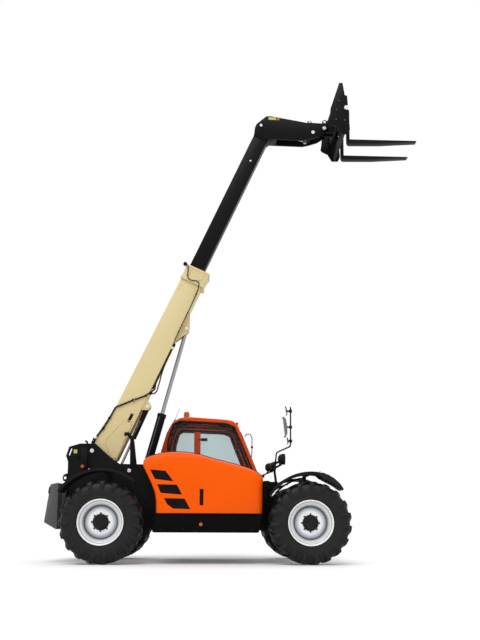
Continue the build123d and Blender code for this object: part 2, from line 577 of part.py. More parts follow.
# ---- mirrors, lamps and small fittings --------------------------------------------------------
def mirror_mast():
    """Bent tube at the front right corner with three mirrors and a lamp bracket."""
    y = -750
    path = FilletPolyline((1010, y, 1108), (1000, y, 1330), (1036, y, 1480), (1040, y, 1640),
                          (1250, y, 1735), (1252, y, 2330), radius=45)
    start = Plane(origin=path @ 0, z_dir=path % 0)
    tube = sweep(start * Circle(14), path=path)
    heads = slab(outline((1128, 2150), (1150, 2172), (1178, 2168), (1216, 1890), (1200, 1872),
                         (1166, 1880)), y - 95, y + 95)
    heads += slab(outline((1168, 2330), (1205, 2338), (1218, 2198), (1186, 2190)), y - 60, y + 60)
    heads += slab(outline((1196, 1862), (1232, 1862), (1240, 1764), (1206, 1762)), y - 50, y + 50)
    heads += bar((1004, 1130), (1002, 1390), 24, y, 0, 250)
    lamp = outline((0, 0), (44, 0), (62, 34), (62, 92), (0, 92))
    heads += Pos(868, y - 20, 1416) * (Rot(0, 90, 0) * revolve(Plane.XZ * lamp, Axis.Z))
    heads += bar((940, 1386), (1015, 1380), 12, y, 0, 75)
    arms = block(1180, 1262, y - 10, y + 10, 2010, 2030) + block(1200, 1262, y - 10, y + 10, 2250, 2270)
    arms += block(1215, 1262, y - 10, y + 10, 1800, 1820)
    return tube + heads + arms - parts["front_fenders"]


def front_lamps():
    """Two headlamps on brackets from the front mudguards."""
    lamps = []
    for side in (1, -1):
        y = side * 780
        lamp = block(1064, 1160, y - 75, y + 75, 1460, 1610)
        arm = block(1090, 1110, y - 12, y + 12, 1185, 1465)
        lamps.append(lamp + arm)
    return lamps[0] + lamps[1] - parts["front_fenders"]


def beacon():
    """Rotating beacon on the cab's roof."""
    x, y, z = -349, 600, 2292
    body = Pos(x, y, z + 18) * Cylinder(48, 40) + Pos(x, y, z + 85) * Cylinder(42, 110)
    return body - cab_body()


def write_all():
    """Writes one file for each named piece."""
    os.makedirs("parts", exist_ok=True)
    for name, shape in parts.items():
        export_step(Pos(SHIFT_X, 0, 0) * shape, f"parts/{name}.step")


parts["chassis_frame"] = frame()
parts["counterweight"] = counterweight()
lugged, dished = tyre(), rim()
for end in ("front", "rear"):
    parts[f"{end}_axle"] = axle(end)
    for side, hand in ((1, "left"), (-1, "right")):
        parts[f"knuckle_{end}_{hand}"] = knuckle(end, side)
        parts[f"tyre_{end}_{hand}"] = on_wheel(lugged, end, side)
        parts[f"rim_{end}_{hand}"] = on_wheel(dished, end, side)
parts["front_fenders"] = fenders("front", (AXLE_X["front"] + 10, 605), 700, 43, 148)
parts["rear_fenders"] = fenders("rear", (AXLE_X["rear"], 620), 715, 50, 146)
parts["boom_outer"] = boom_outer()
parts["boom_collar"] = boom_collar()
parts["boom_hoses"] = boom_hoses()
parts["boom_inner"] = boom_inner()
parts["boom_head"] = boom_head()
parts["carriage"] = carriage()
parts["forks"] = forks()
parts["lift_barrel"], parts["lift_rod"] = cylinder(LIFT_FOOT, LIFT_EYE, 0, 66, 1355, 31, 1230, 42, 6)
parts["slave_barrel"], parts["slave_rod"] = cylinder(SLAVE_EYE, SLAVE_FOOT, SLAVE_Y, 40, 550, 20, 500, 26)
parts["tilt_barrel"], parts["tilt_rod"] = cylinder(TILT_FOOT, TILT_EYE, 0, 42, 560, 19, 380, 22, 4)
parts["bell_crank"] = crank()
parts["tilt_link"] = tilt_link()
parts["engine_hood"] = hood()
parts["hood_grilles"] = hood_grilles()
parts["engine_block"] = block(-480, 260, -860, -470, 520, 1240)
parts["engine_sill"] = engine_sill()
parts["cab_frame"] = cab()
parts["cab_glazing"] = cab_glazing()
parts["cab_door"], parts["cab_door_glass"] = cab_door()
parts["cab_seat"] = cab_seat()
parts["cab_controls"] = cab_controls()
parts["cab_fittings"] = cab_fittings()
parts["left_tank"] = left_tank()
parts["mirror_mast"] = mirror_mast()
parts["front_lamps"] = front_lamps()
parts["beacon"] = beacon()

write_all()
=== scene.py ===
"""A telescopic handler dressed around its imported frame.

The plain bodies get finishes and rounded edges. Tyres, rims, glass, hoses, lamps, the seat and all
the small fastenings are made here.
"""

import sys

import json
import logging
import math
from dataclasses import dataclass
from enum import Enum
from typing import Callable, Dict, Optional, Sequence, Tuple, Union

import bmesh
import bpy
from bmesh.types import BMesh
from bpy.types import Material, Mesh, Object
from mathutils import Matrix, Vector

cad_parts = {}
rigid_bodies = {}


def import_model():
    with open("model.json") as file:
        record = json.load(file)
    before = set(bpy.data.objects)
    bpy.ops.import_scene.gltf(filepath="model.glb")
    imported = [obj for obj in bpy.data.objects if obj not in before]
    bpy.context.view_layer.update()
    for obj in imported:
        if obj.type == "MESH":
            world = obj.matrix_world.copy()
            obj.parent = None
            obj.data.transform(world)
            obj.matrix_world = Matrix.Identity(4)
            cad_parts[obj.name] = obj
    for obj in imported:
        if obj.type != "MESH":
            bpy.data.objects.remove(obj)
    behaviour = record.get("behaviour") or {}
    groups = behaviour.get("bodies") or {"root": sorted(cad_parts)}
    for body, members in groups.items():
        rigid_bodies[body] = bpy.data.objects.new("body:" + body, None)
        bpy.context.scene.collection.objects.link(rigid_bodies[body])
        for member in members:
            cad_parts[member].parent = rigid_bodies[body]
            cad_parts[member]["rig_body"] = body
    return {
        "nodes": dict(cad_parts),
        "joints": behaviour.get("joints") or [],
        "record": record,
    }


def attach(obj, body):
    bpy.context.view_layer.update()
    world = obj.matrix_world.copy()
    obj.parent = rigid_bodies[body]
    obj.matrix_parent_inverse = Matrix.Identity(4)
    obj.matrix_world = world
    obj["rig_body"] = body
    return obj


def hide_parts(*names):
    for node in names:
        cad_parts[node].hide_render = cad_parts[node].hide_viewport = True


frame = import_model()

log = logging.getLogger("telehandler")
Point = Tuple[float, float, float]
Pair = Tuple[float, float]
Line = Sequence[Pair]
Rows = Sequence[Tuple[float, ...]]
Colour = Tuple[float, float, float]

JOINTS = {joint["name"]: joint for joint in frame["joints"]}
ENDS, HANDS = ("front", "rear"), ("left", "right")
SIDES = (1, -1)                                 # the machine's left and right
ACROSS = {side: Vector((0, side, 0)) for side in SIDES}
UP = Vector((0, 0, 1))
CAB_MIDDLE = 652.5                              # millimetres to the left of the machine's own
AXLE_X = {end: JOINTS[f"spin_{end}_left"]["pos_m"][0] for end in ENDS}
TRACK, AXLE_Z = JOINTS["spin_front_left"]["pos_m"][1:]
MID_X = round(sum(AXLE_X.values()) / 2, 6)      # the middle of the wheelbase
PIVOT = JOINTS["boom_lift"]["pos_m"]
BOOM_WAY = JOINTS["boom_telescope"]["axis"]


def mm(x: float, y: float, z: float) -> Vector:
    """The frame's own place of one measured in millimetres from mid-wheelbase on the ground."""
    return Vector((x / 1000 + MID_X, y / 1000, z / 1000))


def on_boom(u: float, y: float, v: float) -> Vector:
    """The place u millimetres along the standing boom, y to the left, v above its pivot's line."""
    along, _, up = BOOM_WAY
    return Vector((PIVOT[0] + (u * along - v * up) / 1000, y / 1000,
                   PIVOT[2] + (u * up + v * along) / 1000))


def angles(count: int) -> Sequence[float]:
    """Evenly spaced angles round a full turn."""
    return [2 * math.pi * i / count for i in range(count)]


def about(centre: Vector, radius: float, turn: float, out: float = 0.0) -> Vector:
    """A place at an angle round a line across the machine, and so far to the left along it."""
    return centre + Vector((radius * math.cos(turn), out, radius * math.sin(turn)))


def placed(name: str, data: Optional[bpy.types.ID]) -> Object:
    """A new object in the scene that holds the data."""
    made = bpy.data.objects.new(name, data)
    bpy.context.scene.collection.objects.link(made)
    return made


def srgb(red: int, green: int, blue: int) -> Colour:
    """Turns a display colour from 0 to 255 into the linear values that a shader takes."""
    return tuple(v / 12.92 if v <= 0.04045 else ((v + 0.055) / 1.055) ** 2.4
                 for v in (red / 255, green / 255, blue / 255))


# ---- node trees written as Python ----
def _operator(operation: str, swapped: bool = False) -> Callable[["Wire", "Value"], "Wire"]:
    """Makes the method of one operator.

    Args:
        operation: the Math node's operation.
        swapped: whether it is the reflected form, with the other value first.

    Returns:
        The method.
    """
    def method(self: "Wire", other: "Value") -> "Wire":
        """Adds one Math node."""
        first, second = (other, self) if swapped else (self, other)
        return self.tree.node("ShaderNodeMath", {"operation": operation}, {0: first, 1: second})
    return method


class Wire:
    """A node's output on which Python's operators work."""

    __add__, __radd__ = _operator("ADD"), _operator("ADD", True)
    __sub__, __rsub__ = _operator("SUBTRACT"), _operator("SUBTRACT", True)
    __mul__, __rmul__ = _operator("MULTIPLY"), _operator("MULTIPLY", True)
    __truediv__, __rtruediv__ = _operator("DIVIDE"), _operator("DIVIDE", True)

    def __init__(self, tree: "Tree", socket: bpy.types.NodeSocket) -> None:
        """Keeps the socket and the tree that it belongs to."""
        self.tree, self.socket = tree, socket

    def other(self, output: str) -> "Wire":
        """Another output of the same node."""
        return Wire(self.tree, self.socket.node.outputs[output])

    def clamped(self) -> "Wire":
        """Keeps the value between 0 and 1."""
        return self.tree.node("ShaderNodeClamp", inputs={0: self})

    def ramped(self, low: float, high: float) -> "Wire":
        """Rises smoothly from 0 at low to 1 at high."""
        return self.tree.node("ShaderNodeMapRange", {"interpolation_type": "SMOOTHSTEP"},
                              {0: self, 1: low, 2: high})


Value = Union[Wire, int, float]


class Tree:
    """A node tree of any kind, to which nodes are added by one method."""

    def __init__(self, tree: bpy.types.NodeTree) -> None:
        """Empties the tree that it is given."""
        self.tree = tree
        tree.nodes.clear()

    @staticmethod
    def _find(sockets: Sequence, key: Union[int, str]) -> bpy.types.NodeSocket:
        """Finds a socket.

        Args:
            sockets: a node's inputs or outputs.
            key: the socket's number, identifier or name.

        Returns:
            The first one that fits.
        """
        if isinstance(key, int):
            return sockets[key]
        for socket in sockets:
            if socket.identifier == key:
                return socket
        return next(s for s in sockets if s.name == key and s.enabled)

    def node(self, kind: str, settings: Optional[Dict] = None, inputs: Optional[Dict] = None,
             output: Union[int, str] = 0) -> Wire:
        """Adds a node.

        Args:
            kind: the node's type.
            settings: its own properties, set first; "stops" are a ramp's (place, colour) pairs.
            inputs: a value, a Wire or a list of Wires for each socket, by number, identifier or
                name.
            output: the socket that the result stands for.

        Returns:
            The chosen output.
        """
        node = self.tree.nodes.new(kind)
        for name, value in (settings or {}).items():
            if name == "stops":
                stops = node.color_ramp.elements
                while len(stops) < len(value):
                    stops.new(1.0)
                for stop, (place, colour) in zip(stops, value):
                    stop.position, stop.color = place, (*colour, 1.0)
            else:
                setattr(node, name, value)
        for key, value in (inputs or {}).items():
            socket = self._find(node.inputs, key)
            if isinstance(value, (Wire, list)):
                for wire in value if isinstance(value, list) else [value]:
                    self.tree.links.new(wire.socket, socket)
            elif isinstance(value, tuple) and socket.type == "RGBA" and len(value) == 3:
                socket.default_value = (*value, 1.0)
            else:
                socket.default_value = value
        return Wire(self, self._find(node.outputs, output)) if len(node.outputs) else None


class Shader(Tree):
    """A material's tree, with the few steps that every finish needs."""

    def __init__(self, name: str) -> None:
        """Starts a material of that name."""
        self.material = bpy.data.materials.new(name)
        self.material.use_nodes = True
        super().__init__(self.material.node_tree)
        self.place = self.node("ShaderNodeTexCoord", output="Object")

    def noise(self, scale: float, detail: float = 3.0, stretch: Optional[Point] = None) -> Wire:
        """Grey noise from 0 to 1.

        Args:
            scale: grains in a metre.
            detail: how many finer layers it has.
            stretch: a factor for each axis, to draw the grains out.

        Returns:
            The noise's value.
        """
        place = self.place
        if stretch:
            place = self.node("ShaderNodeMapping", inputs={"Vector": place, "Scale": stretch})
        return self.node("ShaderNodeTexNoise",
                         inputs={"Vector": place, "Scale": scale, "Detail": detail})

    def dusty(self, patches: Wire, reach: Pair, band: Pair, most: float) -> Wire:
        """How much dust lies on a point: most of it low down, and in patches.

        Args:
            patches: the noise that the patches come from.
            reach: the heights, in metres, between which the dust thins out.
            band: the noise's values between which a patch sets in.
            most: the dust's greatest cover.

        Returns:
            The cover, from 0 to 1.
        """
        height = self.node("ShaderNodeSeparateXYZ", inputs={0: self.place}, output="Z")
        return ((1 - height.ramped(*reach)) * patches.ramped(*band) * most).clamped()

    def mixed(self, share: Value, first: Union[Wire, Colour], second: Union[Wire, Colour]) -> Wire:
        """A colour that is first where share is 0 and second where it is 1."""
        return self.node("ShaderNodeMix", {"data_type": "RGBA"},
                         {"Factor_Float": share, "A_Color": first, "B_Color": second},
                         "Result_Color")

    def tones(self, share: Value, colour: Colour, low: float, high: float = 1.0) -> Wire:
        """A colour that goes from low to high times its own tone as share rises."""
        return self.mixed(share, *(tuple(min(1.0, c * level) for c in colour)
                                   for level in (low, high)))

    def bump(self, height: Wire, depth: float, strength: float = 1.0) -> Wire:
        """A normal for relief of that depth in metres."""
        return self.node("ShaderNodeBump",
                         inputs={"Height": height, "Distance": depth, "Strength": strength})

    def surface(self, **sockets: Union[Value, Colour]) -> Material:
        """Ends the tree in one Principled shader.

        Args:
            sockets: its inputs, with _ for each space in a name.

        Returns:
            The finished material.
        """
        inputs = {name.replace("_", " "): value for name, value in sockets.items()}
        shader = self.node("ShaderNodeBsdfPrincipled", inputs=inputs)
        self.node("ShaderNodeOutputMaterial", inputs={"Surface": shader})
        return self.material


# ---- finishes ----
DUST = srgb(150, 140, 124)


@dataclass(frozen=True)
class Surface:
    """What every finish has: its material's name and its main colour."""

    name: str
    colour: Colour

    def make(self) -> Material:
        """Writes the material."""
        raise NotImplementedError


@dataclass(frozen=True)
class Paint(Surface):
    """Sprayed paint: a slow drift of tone, orange peel, and dust that gathers low down."""

    roughness: float = 0.38
    coat: float = 0.03
    drift: float = 0.07
    dust: float = 0.10
    peel: float = 0.00025
    shine: float = 0.10

    def make(self) -> Material:
        """Writes the material."""
        tree = Shader(self.name)
        slow, fine = tree.noise(1.7, 4.0), tree.noise(26.0, 5.0)
        dusty = tree.dusty(fine, (0.15, 1.5), (0.35, 0.8), self.dust)
        colour = tree.mixed(dusty, tree.tones(slow, self.colour, 1 - self.drift, 1 + self.drift),
                            DUST)
        rough = (self.roughness + (fine - 0.5) * 0.10 + dusty * 0.4).clamped()
        return tree.surface(Base_Color=colour, Roughness=rough, Coat_Weight=self.coat,
                            Coat_Roughness=0.12, Specular_IOR_Level=self.shine,
                            Normal=tree.bump(tree.noise(420.0, 2.0), self.peel))


@dataclass(frozen=True)
class RimPaint(Surface):
    """Silver wheel paint, with painted highlights in bright rings and painted shade in the well and
    the flange's groove.
    """

    reach: float = 0.34
    painted_light_bands: Sequence[Tuple[float, Colour]] = (
        # share of the reach from the axle, and the tone there: painted highlight where bright,
        # painted shade where dark
        (0.30, srgb(248, 249, 250)), (0.46, srgb(240, 242, 244)), (0.57, srgb(196, 200, 206)),
        (0.655, srgb(148, 153, 162)), (0.690, srgb(56, 60, 68)), (0.712, srgb(124, 128, 134)),
        (0.76, srgb(196, 198, 202)), (0.86, srgb(226, 228, 230)), (0.885, srgb(126, 130, 136)),
        (0.905, srgb(246, 247, 248)), (0.97, srgb(253, 253, 254)))

    def make(self) -> Material:
        """Writes the material, whose painted highlight and shade follow the distance from the
        nearer axle.
        """
        tree = Shader(self.name)
        away = [tree.node("ShaderNodeVectorMath", {"operation": "SUBTRACT"},
                          {0: tree.place, 1: (centre, 0.0, AXLE_Z)}) for centre in AXLE_X.values()]
        flat = [tree.node("ShaderNodeVectorMath", {"operation": "MULTIPLY"},
                          {0: wire, 1: (1.0, 0.0, 1.0)}) for wire in away]
        front, rear = (tree.node("ShaderNodeVectorMath", {"operation": "LENGTH"}, {0: wire},
                                 "Value") for wire in flat)
        nearer = tree.node("ShaderNodeMath", {"operation": "MINIMUM"}, {0: front, 1: rear})
        stops = (*self.painted_light_bands, (1.0, self.colour))
        # painted highlight and painted shade: rings of tone by distance from the axle, darkest in
        # the well
        tone = tree.node("ShaderNodeValToRGB", {"stops": stops}, {0: nearer / self.reach}, "Color")
        grime = tree.noise(14.0, 5.0)
        return tree.surface(Base_Color=tree.mixed(grime.ramped(0.5, 0.85) * 0.12, tone, DUST),
                            Roughness=(0.34 + grime * 0.12), Metallic=0.03, Coat_Weight=0.1,
                            Coat_Roughness=0.1, Specular_IOR_Level=0.3,
                            Normal=tree.bump(tree.noise(420.0, 2.0), 0.0002))


@dataclass(frozen=True)
class Casting(Surface):
    """Painted cast iron: a sandy skin with pits and a dull sheen."""

    roughness: float = 0.62
    grain: float = 0.0012

    def make(self) -> Material:
        """Writes the material."""
        tree = Shader(self.name)
        sand, patches = tree.noise(210.0, 6.0), tree.noise(6.0, 4.0)
        dusty = tree.dusty(patches, (0.1, 1.2), (0.45, 0.8), 0.25)
        colour = tree.mixed(dusty, tree.tones(sand.ramped(0.3, 0.75), self.colour, 0.72, 1.28),
                            DUST)
        return tree.surface(Base_Color=colour, Roughness=(self.roughness + (sand - 0.5) * 0.2),
                            Normal=tree.bump(sand, self.grain, 0.7), Specular_IOR_Level=0.12)


@dataclass(frozen=True)
class Moulding(Surface):
    """Moulded plastic with a fine leather-like grain."""

    roughness: float = 0.55
    grain: float = 0.0004
    dust: float = 0.12

    def make(self) -> Material:
        """Writes the material."""
        tree = Shader(self.name)
        cells = tree.node("ShaderNodeTexVoronoi", inputs={"Vector": tree.place, "Scale": 340.0})
        patches = tree.noise(9.0, 4.0)
        dusty = tree.dusty(patches, (0.2, 1.6), (0.4, 0.8), self.dust)
        return tree.surface(Base_Color=tree.mixed(dusty, self.colour, DUST),
                            Roughness=(self.roughness + patches * 0.12),
                            Normal=tree.bump(cells, self.grain, 0.6), Specular_IOR_Level=0.12)


@dataclass(frozen=True)
class Metal(Surface):
    """Bare or plated metal with fine marks drawn out along one direction."""

    roughness: float = 0.14
    marks: float = 60.0
    metallic: float = 1.0

    def make(self) -> Material:
        """Writes the material."""
        tree = Shader(self.name)
        lines = tree.noise(5.0, 4.0, (self.marks, self.marks, self.marks))
        patches = tree.noise(12.0, 3.0)
        rough = (self.roughness + lines * 0.12 + patches * 0.05).clamped()
        return tree.surface(Base_Color=tree.tones(patches, self.colour, 0.88), Roughness=rough,
                            Metallic=self.metallic, Normal=tree.bump(lines, 0.0001, 0.4))


@dataclass(frozen=True)
class Rubber(Surface):
    """Tyre and hose rubber: nearly black, dull, with dry dust in its grain."""

    dust: float = 0.02
    roughness: float = 0.44

    def make(self) -> Material:
        """Writes the material."""
        tree = Shader(self.name)
        fine, slow = tree.noise(160.0, 5.0), tree.noise(7.0, 4.0)
        dusty = (slow.ramped(0.42, 0.78) * fine.ramped(0.3, 0.7) * self.dust).clamped()
        colour = tree.mixed(dusty, tree.tones(slow, self.colour, 0.8, 1.2), DUST)
        return tree.surface(Base_Color=colour, Roughness=(self.roughness + (fine - 0.5) * 0.15),
                            Normal=tree.bump(fine, 0.0003, 0.4), Specular_IOR_Level=0.2)


@dataclass(frozen=True)
class Glazing(Surface):
    """Safety glass that lets most of the light through and shows more at a glancing angle."""

    cover: float = 0.03
    glance: float = 0.10
    roughness: float = 0.03

    def make(self) -> Material:
        """Writes the material."""
        tree = Shader(self.name)
        glance = tree.node("ShaderNodeLayerWeight", inputs={"Blend": 0.35}, output="Facing")
        smear = tree.noise(4.0, 3.0)
        cover = (self.cover + glance * glance * self.glance + (smear - 0.5) * 0.01).clamped()
        return tree.surface(Base_Color=self.colour, Roughness=(self.roughness + smear * 0.03),
                            Alpha=cover, Specular_IOR_Level=0.7)


@dataclass(frozen=True)
class Lens(Surface):
    """A moulded lamp lens with upright flutes."""

    flutes: float = 240.0
    metallic: float = 0.0
    coat: float = 0.8

    def make(self) -> Material:
        """Writes the material."""
        tree = Shader(self.name)
        wave = tree.node("ShaderNodeTexWave", {"bands_direction": "Y"},
                         {"Vector": tree.place, "Scale": self.flutes, "Distortion": 0.0}, "Fac")
        patches = tree.noise(30.0, 2.0)
        return tree.surface(Base_Color=tree.tones(wave, self.colour, 0.78),
                            Roughness=(0.10 + patches * 0.08), Metallic=self.metallic,
                            Coat_Weight=self.coat, Coat_Roughness=0.03,
                            Normal=tree.bump(wave, 0.0008, 0.5))


@dataclass(frozen=True)
class Cloth(Surface):
    """Woven seat cover: crossing threads and a soft sheen."""

    threads: float = 420.0

    def make(self) -> Material:
        """Writes the material."""
        tree = Shader(self.name)
        warp, weft = (tree.node("ShaderNodeTexWave", {"bands_direction": way},
                                {"Vector": tree.place, "Scale": self.threads, "Distortion": 0.4},
                                "Fac") for way in ("X", "Y"))
        weave, patches = warp * 0.5 + weft * 0.5, tree.noise(20.0, 4.0)
        return tree.surface(Base_Color=tree.tones(weave * 0.7 + patches * 0.3, self.colour, 0.6,
                                                  1.4),
                            Roughness=(0.82 + patches * 0.1), Sheen_Weight=0.35,
                            Normal=tree.bump(weave, 0.0006, 0.7))


class Finish(Enum):
    """Every finish on the machine, by the place where it is used."""

    HOOD = Paint("orange_hood", srgb(249, 92, 0), 0.32, 0.02, drift=0.02, dust=0.01, shine=0.08)
    CAB = Paint("orange_cab", srgb(228, 74, 10), 0.36, 0.02, drift=0.05, dust=0.02, shine=0.10)
    CREAM = Paint("cream_boom", srgb(222, 205, 154), 0.42, 0.02, drift=0.04, dust=0.05, shine=0.2)
    BLACK = Paint("black_steel", srgb(17, 17, 19), 0.46, 0.02, dust=0.03, shine=0.08)
    SILL = Paint("black_sill", srgb(7, 7, 8), 0.5, 0.0, drift=0.0, dust=0.0, shine=0.05)
    BOOM_BLACK = Paint("black_boom", srgb(15, 15, 17), 0.40, 0.02, dust=0.0, shine=0.08)
    FORK = Paint("black_fork", srgb(20, 20, 22), 0.40, 0.02, dust=0.0, shine=0.10)
    RIM = RimPaint("silver_rim", srgb(170, 173, 178))
    WEIGHT = Casting("grey_casting", srgb(94, 94, 95), 0.62, 0.0022)
    CAST = Casting("black_casting", srgb(30, 30, 32))
    PLASTIC = Moulding("black_moulding", srgb(18, 18, 19), dust=0.03)
    LINER = Moulding("dark_liner", srgb(34, 32, 31), 0.7)
    SHELL = Moulding("grey_shell", srgb(110, 113, 118), 0.5, dust=0.02)
    ENGINE = Casting("engine_casting", srgb(96, 98, 100), 0.5)
    CHROME = Metal("hard_chrome", srgb(158, 160, 165), 0.09)
    ZINC = Metal("zinc_fitting", srgb(222, 224, 228), 0.34, 20.0, 0.7)
    PIPE = Metal("steel_pipe", srgb(92, 94, 98), 0.34, 20.0, 0.6)
    MIRROR = Metal("mirror_glass", srgb(235, 238, 240), 0.02)
    TYRE = Rubber("ground_rubber", srgb(24, 24, 26))
    HOSE = Rubber("smooth_rubber", srgb(18, 18, 19), 0.01)
    GLASS = Glazing("clear_glass", srgb(190, 215, 216), 0.02, 0.05)
    TINTED = Glazing("tinted_glass", srgb(118, 214, 222), 0.38, 0.16)
    AMBER = Lens("amber_reflector", srgb(208, 84, 28), coat=0.3)
    BEACON = Lens("beacon_lens", srgb(234, 96, 12), 90.0, coat=0.15)
    RED = Lens("red_lens", srgb(190, 20, 18))
    CLEAR = Lens("clear_lens", srgb(228, 232, 236), metallic=0.5)
    YELLOW = Paint("yellow_plate", srgb(205, 196, 108), 0.5, 0.1, dust=0.0)
    CLOTH = Cloth("seat_cloth", srgb(58, 58, 62))

    @property
    def material(self) -> Material:
        """The finish's material, written the first time that it is asked for."""
        return bpy.data.materials.get(self.value.name) or self.value.make()


# ---- meshes ----
def shaded(mesh: Mesh, angle: float = 32.0) -> Mesh:
    """Shades a mesh smooth but for the edges that turn by more than angle degrees."""
    mesh.shade_smooth()
    mesh.set_sharp_from_angle(angle=math.radians(angle))
    return mesh


def meshed(shape: BMesh, name: str) -> Mesh:
    """Ends a bmesh as a mesh whose faces point outwards.

    Args:
        shape: the bmesh, freed here.
        name: the mesh's name.

    Returns:
        The mesh.
    """
    bmesh.ops.recalc_face_normals(shape, faces=shape.faces)
    mesh = bpy.data.meshes.new(name)
    shape.to_mesh(mesh)
    shape.free()
    return mesh


def eased(shape: BMesh, width: float, steps: int = 2, angle: float = 30.0) -> None:
    """Rounds a shape's sharp edges, leaving those too short for the width.

    Args:
        shape: the shape, changed in place.
        width: how far the rounding reaches from the edge.
        steps: faces across it.
        angle: the least turn, in degrees, of an edge that is rounded.
    """
    limit, room = math.radians(angle), 2.6 * width
    sharp = [e for e in shape.edges if len(e.link_faces) == 2 and e.calc_face_angle(0) > limit
             and e.calc_length() > room
             and all(o.calc_length() > room for v in e.verts for o in v.link_edges)]
    if sharp:
        bmesh.ops.bevel(shape, geom=sharp, offset=width, segments=steps, profile=0.5,
                        affect="EDGES", clamp_overlap=True)


def prism(shape: BMesh, corners: Sequence[Point], along: Vector) -> None:
    """Adds a plate to a shape.

    Args:
        shape: the bmesh that it is added to.
        corners: a flat outline in space.
        along: how far, and which way, the outline is carried.
    """
    verts = [shape.verts.new(c) for c in corners]
    face = shape.faces.new(verts)
    grown = bmesh.ops.extrude_face_region(shape, geom=[face])["geom"]
    bmesh.ops.translate(shape, vec=along, verts=[g for g in grown
                                                 if isinstance(g, bmesh.types.BMVert)])


def revolved(shape: BMesh, profile: Line, centre: Vector, side: int = 1,
             turns: int = 72, closed: bool = True) -> None:
    """Adds a body turned about a line across the machine.

    Args:
        shape: the bmesh that it is added to.
        profile: its outline as (radius, distance outwards) pairs.
        centre: the middle of the line.
        side: 1 where outwards is to the left and -1 to the right.
        turns: faces round it.
        closed: whether the outline returns to its first point.
    """
    rings = [[shape.verts.new(about(centre, radius, a, side * out))
              for a in (angles(turns) if radius > 1e-6 else [0.0])] for radius, out in profile]
    for first, second in zip(rings, rings[1:] + (rings[:1] if closed else [])):
        for i in range(turns):
            j = (i + 1) % turns
            corners = [first[0]] if len(first) == 1 else [first[i], first[j]]
            corners += [second[0]] if len(second) == 1 else [second[j], second[i]]
            if len(corners) > 2:
                shape.faces.new(corners)


def rod(shape: BMesh, start: Vector, end: Vector, radius: float, turns: int = 24,
        second: Optional[float] = None) -> None:
    """Adds a round bar between two points.

    Args:
        shape: the bmesh that it is added to.
        start: one end's middle.
        end: the other's.
        radius: its radius.
        turns: faces round it.
        second: the radius at its end, where it is tapered.
    """
    line = end - start
    turn = line.to_track_quat("Z", "Y").to_matrix().to_4x4()
    bmesh.ops.create_cone(shape, cap_ends=True, segments=turns, radius1=radius,
                          radius2=radius if second is None else second, depth=line.length,
                          matrix=Matrix.Translation((start + end) / 2) @ turn)


class Form:
    """A body built of plates, bars and turned parts, in millimetres."""

    def __init__(self, place: Callable[[float, float, float], Vector] = mm) -> None:
        """Starts with nothing, to be measured in the way that place gives."""
        self.shape, self.place = bmesh.new(), place

    def plate(self, corners: Line, y0: float, y1: float) -> "Form":
        """Adds a plate across the machine, with its side view as (x, z) corners."""
        prism(self.shape, [self.place(x, y0, z) for x, z in corners],
              ACROSS[1] * ((y1 - y0) / 1000))
        return self

    def box(self, x0: float, x1: float, y0: float, y1: float, z0: float, z1: float) -> "Form":
        """Adds a box between its limits."""
        return self.plate([(x0, z0), (x1, z0), (x1, z1), (x0, z1)], y0, y1)

    def strip(self, line: Line, thick: float, y0: float, y1: float) -> "Form":
        """Adds a bent plate that follows a line in side view.

        Args:
            line: its (x, z) corners.
            thick: its thickness, to the line's right.
            y0: one edge's distance to the machine's left.
            y1: the other's.

        Returns:
            The body, so that calls can follow one another.
        """
        inner = []
        for i, (x, z) in enumerate(line):
            before, after = line[max(i - 1, 0)], line[min(i + 1, len(line) - 1)]
            dx, dz = after[0] - before[0], after[1] - before[1]
            size = math.hypot(dx, dz)
            inner.append((x + dz / size * thick, z - dx / size * thick))
        return self.plate([*line, *inner[::-1]], y0, y1)

    def bar(self, start: Point, end: Point, radius: float, second: Optional[float] = None,
            turns: int = 24) -> "Form":
        """Adds a round bar between two places."""
        rod(self.shape, self.place(*start), self.place(*end), radius / 1000, turns,
            None if second is None else second / 1000)
        return self

    def turned(self, profile: Line, place: Point, side: int) -> "Form":
        """Adds a body turned about a line across the machine, from axis to axis."""
        revolved(self.shape, [(r / 1000, out / 1000) for r, out in profile], self.place(*place),
                 side, 32, closed=False)
        return self

    def ease(self, width: float, steps: int = 2, angle: float = 30.0) -> "Form":
        """Rounds the sharp edges made so far."""
        bmesh.ops.recalc_face_normals(self.shape, faces=self.shape.faces)
        eased(self.shape, width / 1000, steps, angle)
        return self

    def mesh(self, name: str = "form") -> Mesh:
        """Ends the body."""
        return meshed(self.shape, name)


